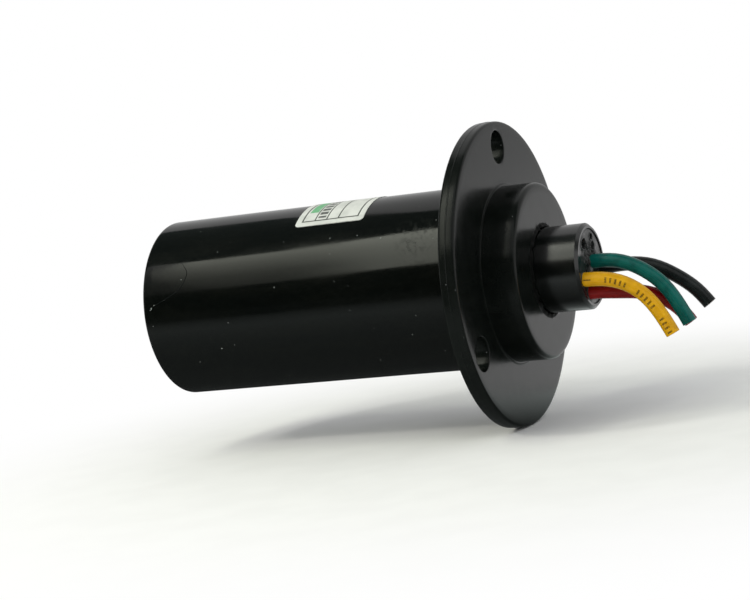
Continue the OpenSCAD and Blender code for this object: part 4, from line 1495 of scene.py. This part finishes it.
@dataclass
class Barrel:
    """The barrel with its label and a fine scratch, and the cap that closes it. Sizes are in millimetres.

    Attributes:
        radius: Outside of the tube.
        bore: Inside of the tube.
        length: From its rear end to the flange.
        rear_round: Rounding of its rear edge.
        wave: How far the outside swells.
        columns: Points round the tube.
        scratch: Places along X and degrees from +Y that the scratch passes through.
        scratch_radius: Half the width of the scratch.
        sunk: How far the scratch's middle lies inside the outside.
        torn: Flecks at the scratch's lower end: place along X, degrees from +Y, and radius.
        strewn: How many flecks lie about the tube.
        strewn_spans: Spans of their place along X, their degrees from +Y, and their radius.
        fleck_rings: Rings of points in a fleck's face.
        fleck_columns: Points round a fleck.
        fleck_height: How far a fleck rises, and sinks.
        label_x: The label's span along X.
        label_half_arc: Half of its turn about the axis, in degrees.
        label_middle: Its middle, in degrees from +Y.
        label_thick: Its thickness.
        label_round: Its corners' radius.
        label_lift: How far its ends stand off the tube.
    """

    radius: float = 15.0
    bore: float = 13.0
    length: float = 58.95
    rear_round: float = 1.2
    wave: float = 0.012
    columns: int = 288
    scratch: tuple[tuple[float, float], ...] = (
        (-51.6, 145.0), (-50.7, 149.3), (-50.3, 152.5), (-50.5, 156.5), (-51.5, 162.5), (-53.5, 167.0),
        (-55.7, 170.6), (-57.7, 173.8))
    scratch_radius: float = 0.055
    sunk: float = 0.012
    torn: tuple[Point, ...] = (
        (-56.6, 171.8, 0.16), (-57.2, 173.6, 0.2), (-57.4, 174.6, 0.12), (-54.6, 168.9, 0.1))
    strewn: int = 16
    strewn_spans: tuple[tuple[float, float], ...] = ((-56, -3), (118, 232), (0.08, 0.16))
    fleck_rings: int = 5
    fleck_columns: int = 12
    fleck_height: float = 0.02
    label_x: tuple[float, float] = (-31.25, -18.75)
    label_half_arc: float = 42.0
    label_middle: float = 84.5
    label_thick: float = 0.08
    label_round: float = 0.7
    label_lift: float = 0.02

    def build(self) -> None:
        """Makes the barrel's pieces and dresses its cap."""
        self.shell()
        self.scratch_line()
        self.flecks()
        self.label()
        dress(("rear_cap",), MOULDED_HOUSING)

    def settle_on_tube(self, name: str, points: np.ndarray, quads: np.ndarray, finish: Finish,
                       nodes: tuple[str, ...] = ()) -> None:
        """Makes a piece of the tube and settles it: see make_piece and settle for the arguments."""
        settle(make_piece(name, points, quads), finish, Body.STATOR, nodes)

    def shell(self) -> None:
        """Makes the tube: a turned section whose outside swells and sinks by a hundredth of a millimetre."""
        small = 0.4
        section = rounded([
            (-self.length, self.bore + small, 0.1), (-self.length, self.radius, self.rear_round),
            (0, self.radius, 0.0), (0, self.bore, 0.0), (-self.length + small, self.bore, 0.1)], 10)
        points, quads = revolve(filled_in(section, 1.2 * MM), self.columns)
        radius = np.hypot(points[:, 1], points[:, 2])
        angle = np.arctan2(points[:, 2], points[:, 1])
        rng = np.random.default_rng(11)
        swell = self.wave * MM * waves(angle, points[:, 0] / MM * 0.05, rng, 9, 5)
        # the bore stays true, and so do the last millimetres before the flange
        outside = np.clip((radius / MM - self.bore - 0.6) / 1.2, 0, 1)
        ends = np.clip(-points[:, 0] / MM / 4, 0, 1)
        grow = 1 + (swell - self.wave * MM) * outside * ends / radius
        points[:, 1:] *= grow[:, None]
        self.settle_on_tube("barrel_shell", points, quads, DRAWN_TUBE, ("barrel_tube",))

    def scratch_line(self) -> None:
        """Lays a hair-thin ridge over the tube along a smooth arc.

        At share s of its length its radius is the most times the root of 1 - (2 s - 1)^4.
        """
        given = np.array(self.scratch)
        on_tube = self.radius - self.sunk
        path = spline(about_axis(given[:, 0], on_tube, np.radians(given[:, 1])), 60)
        path[:, 1:] *= (on_tube / np.hypot(path[:, 1], path[:, 2]))[:, None]
        share = np.linspace(0, 1, len(path))
        radii = self.scratch_radius * np.sqrt(np.clip(1 - (2 * share - 1) ** 4, 0, 1)) * MM
        points, quads, _ = sweep(path * MM, radii, np.arange(len(path)), (0, 0.2, 1), 8)
        self.settle_on_tube("barrel_scratch", points, quads, SCUFF)

    def flecks(self) -> None:
        """Sets whitened flecks along the scratch's lower end and about the tube.

        Each is a flat blister on an ellipse that leans: at share s from its middle to its edge, its
        two faces lie the height times 1 - s^2 outside and inside the tube's skin.
        """
        rng = np.random.default_rng(21)
        places = [rng.uniform(*span, self.strewn) for span in self.strewn_spans]
        given = np.concatenate([self.torn, np.stack(places, axis=1)])[:, None, None, :]
        ring = np.linspace(0, 1, self.fleck_rings)[None, :, None]
        angle = round_turn(self.fleck_columns)[None, None, :]
        lean = rng.uniform(0, np.pi, (len(given), 1, 1))
        long, short = ring * np.cos(angle - lean), 0.45 * ring * np.sin(angle - lean)
        over = (long * np.cos(lean) - short * np.sin(lean)) * given[..., 2]
        along = (long * np.sin(lean) + short * np.cos(lean)) * given[..., 2]
        turn = np.radians(given[..., 1]) + over / self.radius
        faces = []
        for side in (1, -1):
            radius = self.radius - 0.01 + side * self.fleck_height * (1 - ring**2)
            faces.append(about_axis(given[..., 0] + along, radius, turn)[:, ::side])
        points = np.concatenate(faces, axis=1) * MM
        rows = 2 * self.fleck_rings
        first = rows * self.fleck_columns * np.arange(len(given))[:, None, None]
        quads = (grid_quads(rows, self.fleck_columns, False, True)[None] + first).reshape(-1, 4)
        self.settle_on_tube("barrel_flecks", points.reshape(-1, 3), quads, CHIP)

    def label(self) -> None:
        """Makes the label: a film on the tube with round corners.

        A point at (x, s) lies at radius r and turn m + s * h(x), where h is the half arc less what the
        round corner takes: its radius minus the root of the radius squared minus the squared distance
        from the corner's middle.
        """
        x0, x1 = self.label_x
        length, corner = x1 - x0, self.label_round
        half = math.radians(self.label_half_arc) * self.radius
        near = corner * (1 - np.cos(np.linspace(0, np.pi / 2, 9)))
        x = np.concatenate([near, np.linspace(corner, length - corner, 26)[1:-1], length - near[::-1]])
        short_of_middle = np.clip(corner - np.minimum(x, length - x), 0, None)
        lost = corner - np.sqrt(np.clip(corner**2 - short_of_middle**2, 0, None))
        share = np.linspace(-1, 1, 61)
        arc = share[None, :] * (half - lost)[:, None]
        rng = np.random.default_rng(5)
        ripple = 1 + waves(arc * 0.35, x[:, None] * 0.5, rng, 6, 2)
        top = self.radius + self.label_thick + self.label_lift * ripple * np.abs(share)[None, :] ** 6
        low = np.full(arc.shape, self.radius - 0.01)
        # each row goes out over the top and back underneath, and the end rows close on the film's mid height
        arc = np.concatenate([arc, arc[:, ::-1]], axis=1)
        radius = np.concatenate([top, low], axis=1)
        mid = np.full((1, radius.shape[1]), self.radius + self.label_thick / 2)
        arc = np.concatenate([arc[:1], arc, arc[-1:]])
        radius = np.concatenate([mid, radius, mid])
        x = np.concatenate([x[:1], x, x[-1:]])[:, None]
        turn = math.radians(self.label_middle) - arc / self.radius
        points = about_axis(x0 + x, radius, turn).reshape(-1, 3) * MM
        quads = grid_quads(*arc.shape, False, True)
        flat = np.stack(np.broadcast_arrays(x, arc + half), axis=2).reshape(-1, 2) * MM
        piece = make_piece("label_film", points, quads, 50, flat[quads])
        # coated polyester is a clean cold white with a weak sheen, and takes ink without gloss
        film = PrintedFilm("polyester_film_printed", length, 2 * half)
        settle(piece, film, Body.STATOR, ("id_label",))


@dataclass
class Housing:
    """The moulded flange with its boss, bolt holes and the seal round the hub. Sizes are in millimetres.

    Attributes:
        flange_radius: The flange, at the parting line round its rim.
        flange_thick: Its thickness.
        boss_radius: The boss.
        boss_top: The boss's face.
        bore: The spigot in the barrel.
        spigot: The spigot's rear end.
        seat: The bearing's bore.
        seat_front: Front end of the bearing's bore.
        groove: The circlip's groove: its rear, its front and its radius.
        seal_seat: The seal's pocket.
        seal_floor: Rear of that pocket.
        lip: The hole behind the seal.
        lip_rear: Rear of that hole.
        shoulder: The step between that hole and the bearing's bore.
        hub_radius: The hub.
        bolt_circle: Distance of the bolt holes from the axis.
        bolt_radius: A bolt hole.
        bolt_soft: Rounding of its edges.
        screw_circle: Distance of the blind screw holes from the axis.
        screw_turns: Their places, in degrees from the top.
        screw_radius: A screw hole.
        screw_end: How far forward it goes.
        sharp: Edges that bend more than this many degrees stay sharp.
        columns: Points round the moulding.
        cutter_columns: Points round a hole.
        seal_columns: Points round the seal.
    """

    flange_radius: float = 25.0
    flange_thick: float = 2.75
    boss_radius: float = 14.35
    boss_top: float = 8.45
    bore: float = 13.0
    spigot: float = -6.0
    seat: float = 10.5
    seat_front: float = 6.2
    groove: Point = (0.2, 1.2, 11.2)
    seal_seat: float = 8.6
    seal_floor: float = 7.05
    lip: float = 7.35
    lip_rear: float = 6.5
    shoulder: float = 9.154
    hub_radius: float = 6.95
    bolt_circle: float = 20.75
    bolt_radius: float = 2.7
    bolt_soft: float = 0.2
    screw_circle: float = 11.75
    screw_turns: Point = (0, 80, -80)
    screw_radius: float = 0.7
    screw_end: float = -2.96
    sharp: float = 38.0
    columns: int = 360
    cutter_columns: int = 48
    seal_columns: int = 300

    def section(self) -> np.ndarray:
        """Outline of the moulding, from its spigot's rear round the flange and boss to the bearing seat.

        Returns:
            Rows of x and radius in metres.
        """
        middle, thick, boss = self.flange_thick / 2, self.flange_thick, self.boss_radius
        rim, line = self.flange_radius - 0.05, self.flange_radius
        spigot = [(self.spigot, self.seat, 0.1), (self.spigot, self.bore, 0.45), (0.0, self.bore, 0.0)]
        parting_line = [(middle - 0.14, rim, 0.02), (middle - 0.05, line, 0.03), (middle + 0.05, line, 0.03),
                        (middle + 0.14, rim, 0.02)]
        flange = [(0.0, rim, 0.5), *parting_line, (thick, rim, 0.5)]
        ridge = [(thick, boss + 0.55, 0.08), (thick + 0.07, boss + 0.42, 0.05), (thick, boss + 0.28, 0.05)]
        front = [(thick, boss, 0.3), (self.boss_top, boss, 0.8), (self.boss_top, self.seal_seat, 0.0)]
        pocket = [(self.seal_floor, self.seal_seat, 0.0), (self.seal_floor, self.lip, 0.1)]
        step = [(self.lip_rear, self.lip, 0.0), (self.lip_rear, self.shoulder, 0.0),
                (self.seat_front, self.shoulder, 0.0), (self.seat_front, self.seat, 0.0)]
        rear, ahead, deep = self.groove
        groove = [(ahead, self.seat, 0.0), (ahead, deep, 0.0), (rear, deep, 0.0), (rear, self.seat, 0.0)]
        return filled_in(rounded(spigot + flange + ridge + front + pocket + step + groove), 1.0 * MM)

    def cutter(self, name: str, turn: float, circle: float, hole: np.ndarray) -> bpy.types.Object:
        """Makes a turned cutter along +X.

        Args:
            name: Name of the cutter.
            turn: Degrees from the top.
            circle: Its distance from the axis, in millimetres.
            hole: Rows of x and radius in millimetres.

        Returns:
            The cutter.
        """
        points, _ = revolve(hole * MM, self.cutter_columns)
        quads = grid_quads(len(hole), self.cutter_columns, False, True)
        points[:, 1] += -math.sin(math.radians(turn)) * circle * MM
        points[:, 2] += math.cos(math.radians(turn)) * circle * MM
        return make_piece(name, points, quads)

    def bolt_profile(self) -> np.ndarray:
        """Outline of a bolt hole's cutter: a rod between two quarter rounds that flare at the faces.

        Returns:
            Rows of x and radius in millimetres.
        """
        edge = np.linspace(0, np.pi / 2, 6)
        soft, thick = self.bolt_soft, self.flange_thick
        rear = np.stack([soft * (1 - np.sin(edge[::-1])), self.bolt_radius + soft * (1 - np.cos(edge[::-1]))],
                        axis=1)
        front = np.stack([thick - rear[::-1, 0], rear[::-1, 1]], axis=1)
        wide = self.bolt_radius + soft + 0.002
        return np.concatenate([[[-1, 0], [-1, wide], [-0.001, wide]], rear[1:], front[:-1],
                               [[thick + 0.001, wide], [thick + 1, wide], [thick + 1, 0]]])

    def body(self) -> None:
        """Makes the moulding: a turned section less three soft-edged bolt holes and three screw holes."""
        piece = make_piece("flange_body", *revolve(self.section(), self.columns), self.sharp)
        bolt = self.bolt_profile()
        behind = self.spigot - 1
        screw = np.array([[behind, 0], [behind, self.screw_radius], [self.screw_end, self.screw_radius],
                          [self.screw_end, 0.0]])
        cutters = [self.cutter(f"cut_bolt_{k}", 120 * k, self.bolt_circle, bolt) for k in range(3)]
        cutters += [self.cutter(f"cut_screw_{k}", turn, self.screw_circle, screw)
                    for k, turn in enumerate(self.screw_turns)]
        for cutter in cutters:
            cut = piece.modifiers.new(cutter.name, "BOOLEAN")
            cut.operation, cut.solver, cut.object = "DIFFERENCE", "EXACT", cutter
        applied(piece)
        for cutter in cutters:
            bpy.data.objects.remove(cutter)
        piece.data.polygons.foreach_set("use_smooth", np.ones(len(piece.data.polygons), bool))
        piece.data.set_sharp_from_angle(angle=math.radians(self.sharp))
        weighted = piece.modifiers.new("even_faces", "WEIGHTED_NORMAL")
        weighted.keep_sharp, weighted.weight = True, 90
        settle(piece, MOULDED_HOUSING, Body.STATOR, ("flange_housing",))

    def seal(self) -> None:
        """Makes the soft seal: flush with the boss, with a ragged lip that climbs towards the hub.

        At share s of the way out and turn a, the lip's height is its crest at a times the bell
        exp(-(s / w)^2), whose width w wanders with a.
        """
        rng = np.random.default_rng(3)
        angle = round_turn(self.seal_columns)
        crest = np.clip(0.3 + 0.17 * waves(angle, np.zeros(1), rng, 14, 42), 0.04, 0.55)
        wide = np.clip(0.25 + 0.1 * waves(angle, np.zeros(1), rng, 14, 36), 0.1, 0.45)
        share = np.linspace(0, 1, 26)[:, None] ** 1.3
        inner, outer = self.hub_radius + 0.08, self.seal_seat - 0.002
        radius = inner + (outer - inner) * share + np.zeros((1, self.seal_columns))
        start = np.clip(share / 0.05, 0, 1) ** 0.5
        top = self.boss_top - 0.003 + crest * start * np.exp(-((share / wide) ** 2)) - 0.25 * (1 - start)
        low = np.full((1, self.seal_columns), self.seal_floor + 0.03)
        x = np.concatenate([low, top, low])
        radius = np.concatenate([radius[:1], radius, radius[-1:]])
        points = about_axis(x, radius, angle).reshape(-1, 3) * MM
        piece = make_piece("seal_collar", points, grid_quads(*x.shape, True, True), 60)
        settle(piece, SOFT_SEAL, Body.STATOR, ("dust_seal",))

    def build(self) -> None:
        """Makes the moulding and the seal."""
        self.body()
        self.seal()


@dataclass
class Hub:
    """The turning hub and the potted plug that the leads leave through. Sizes are in millimetres.

    Attributes:
        face_x: The plug's face.
        plug_thick: The plug's thickness.
        cavity: The plug's radius.
        spare_holes: Places of the unused holes along Y and Z, and their width.
        exits: Places at which the leads leave.
        lead_radius: A lead's radius.
        rows: Rings of points in the plug's face.
        columns: Points round the plug.
    """

    face_x: float = 15.9
    plug_thick: float = 2.4
    cavity: float = 6.1
    spare_holes: tuple[Point, ...] = ((-2.4, 3.8, 1.4), (1.7, 3.1, 1.2), (1.5, 4.6, 0.8))
    exits: tuple[tuple[float, float], ...] = ((0.3, 0.7), (-4.4, -1.7), (-2.2, -4.0), (4.2, -0.8))
    lead_radius: float = 1.15
    rows: int = 90
    columns: int = 420

    def height(self, y: np.ndarray, z: np.ndarray) -> np.ndarray:
        """Height of the plug's face over its plane, in millimetres.

        Slow swells, rougher where the resin was dabbed in above the leads, less a pit for each spare
        hole with a raised lip, plus a small rise where resin climbs each lead.

        Args:
            y: Places across.
            z: Places up.

        Returns:
            The heights.
        """
        rng = np.random.default_rng(8)
        height = 0.02 * waves(y * 0.9, z * 0.9, rng, 8, 2)
        dabbed = np.exp(-(((y + 0.3) / 3.2) ** 2 + ((z - 2.3) / 2.0) ** 2) ** 2)
        lumps = 0.15 * waves(y * 1.1, z * 1.3, rng, 14, 5)
        lumps = lumps + 0.09 * waves(y * 3, z * 3, rng, 14, 4)
        height = height + dabbed * (lumps + 0.05 * waves(y * 5, z * 5, rng, 16, 5))
        for hole_y, hole_z, wide in self.spare_holes:
            away = np.hypot((y - hole_y) / 1.3, z - hole_z) / (wide * 0.56)
            away = away * (1 + 0.07 * np.sin(3 * np.arctan2(z - hole_z, y - hole_y) + wide))
            height = height + 0.14 * np.exp(-(((away - 1.25) / 0.22) ** 2))
            height = height - 1.2 * (1 - 1 / (1 + np.exp(-(away - 0.93) * 22)))
        for lead_y, lead_z in self.exits:
            away = np.hypot(y - lead_y, z - lead_z) - self.lead_radius
            height = height + 0.22 * np.exp(-np.clip(away, 0, None) / 0.22)
        edge = np.clip((self.cavity - np.hypot(y, z)) / 0.5, 0, 1)
        return height * edge**0.5 - 0.1 * (1 - edge) ** 2

    def plug(self) -> None:
        """Makes the plug: its face a height field on rings about the axis, closed by its side and back."""
        ring = np.linspace(0, self.cavity, self.rows)
        angle = round_turn(self.columns)
        y, z = ring[:, None] * np.cos(angle), ring[:, None] * np.sin(angle)
        face = self.face_x + self.height(y, z)
        back = np.full((1, self.columns), self.face_x - self.plug_thick)
        x = np.concatenate([face, back, back])
        y, z = np.concatenate([y, y[-1:], 0 * y[:1]]), np.concatenate([z, z[-1:], 0 * z[:1]])
        points = np.stack([x, y, z], axis=2).reshape(-1, 3) * MM
        piece = make_piece("hub_plug", points, grid_quads(*x.shape, False, True), 60)
        settle(piece, POTTED_PLUG, Body.ROTOR, ("lead_plug",))

    def build(self) -> None:
        """Makes the plug and dresses the shaft."""
        self.plug()
        dress(("rotor_shaft",), MOULDED_HUB)


@dataclass
class InnerParts:
    """Everything inside the barrel, which keeps its CAD shape.

    Attributes:
        finishes: Each finish, and the nodes that it goes on.
    """

    finishes: tuple[tuple[Finish, tuple[str, ...]], ...] = (
        (BEARING_STEEL, ("front_outer_race", "front_inner_race", "rear_outer_race", "rear_inner_race")),
        (BALL_STEEL, ("front_balls", "rear_balls")),
        (CAGE_BRASS, ("front_cage", "rear_cage")),
        (SPRING_STEEL, ("front_circlip", "rear_clip", "wave_washer")),
        (ZINC_STEEL, ("frame_screws", "clamp_washer", "clamp_nut")),
        (FRAME_NYLON, ("brush_frame", "front_spacer")),
        (BOARD, ("brush_board",)),
        (TINNED_BRASS, ("board_terminals",)),
        (BRUSH_WIRE, tuple(f"brush_{k}" for k in range(1, 5))),
        (RING_GOLD, tuple(f"contact_ring_{k}" for k in range(1, 5))),
        (BARRIER_RESIN, tuple(f"ring_barrier_{k}" for k in range(1, 6))),
        (ROD_COPPER, tuple(f"terminal_rod_{k}" for k in range(1, 5))),
    )

    def build(self) -> None:
        """Dresses the parts one finish at a time."""
        for finish, names in self.finishes:
            dress(names, finish)


def main() -> None:
    """Builds the scene: camera and leads first, then the other pieces and the studio."""
    logging.basicConfig(level=logging.INFO, format="%(name)s: %(message)s")
    bpy.context.scene.view_settings.view_transform = "Standard"
    Camera().build()
    for assembly in (Leads(), Barrel(), Housing(), Hub(), InnerParts(), Studio()):
        assembly.build()
        log.info("%s done", type(assembly).__name__)
    bpy.context.view_layer.update()


if __name__ == "__main__":
    main()
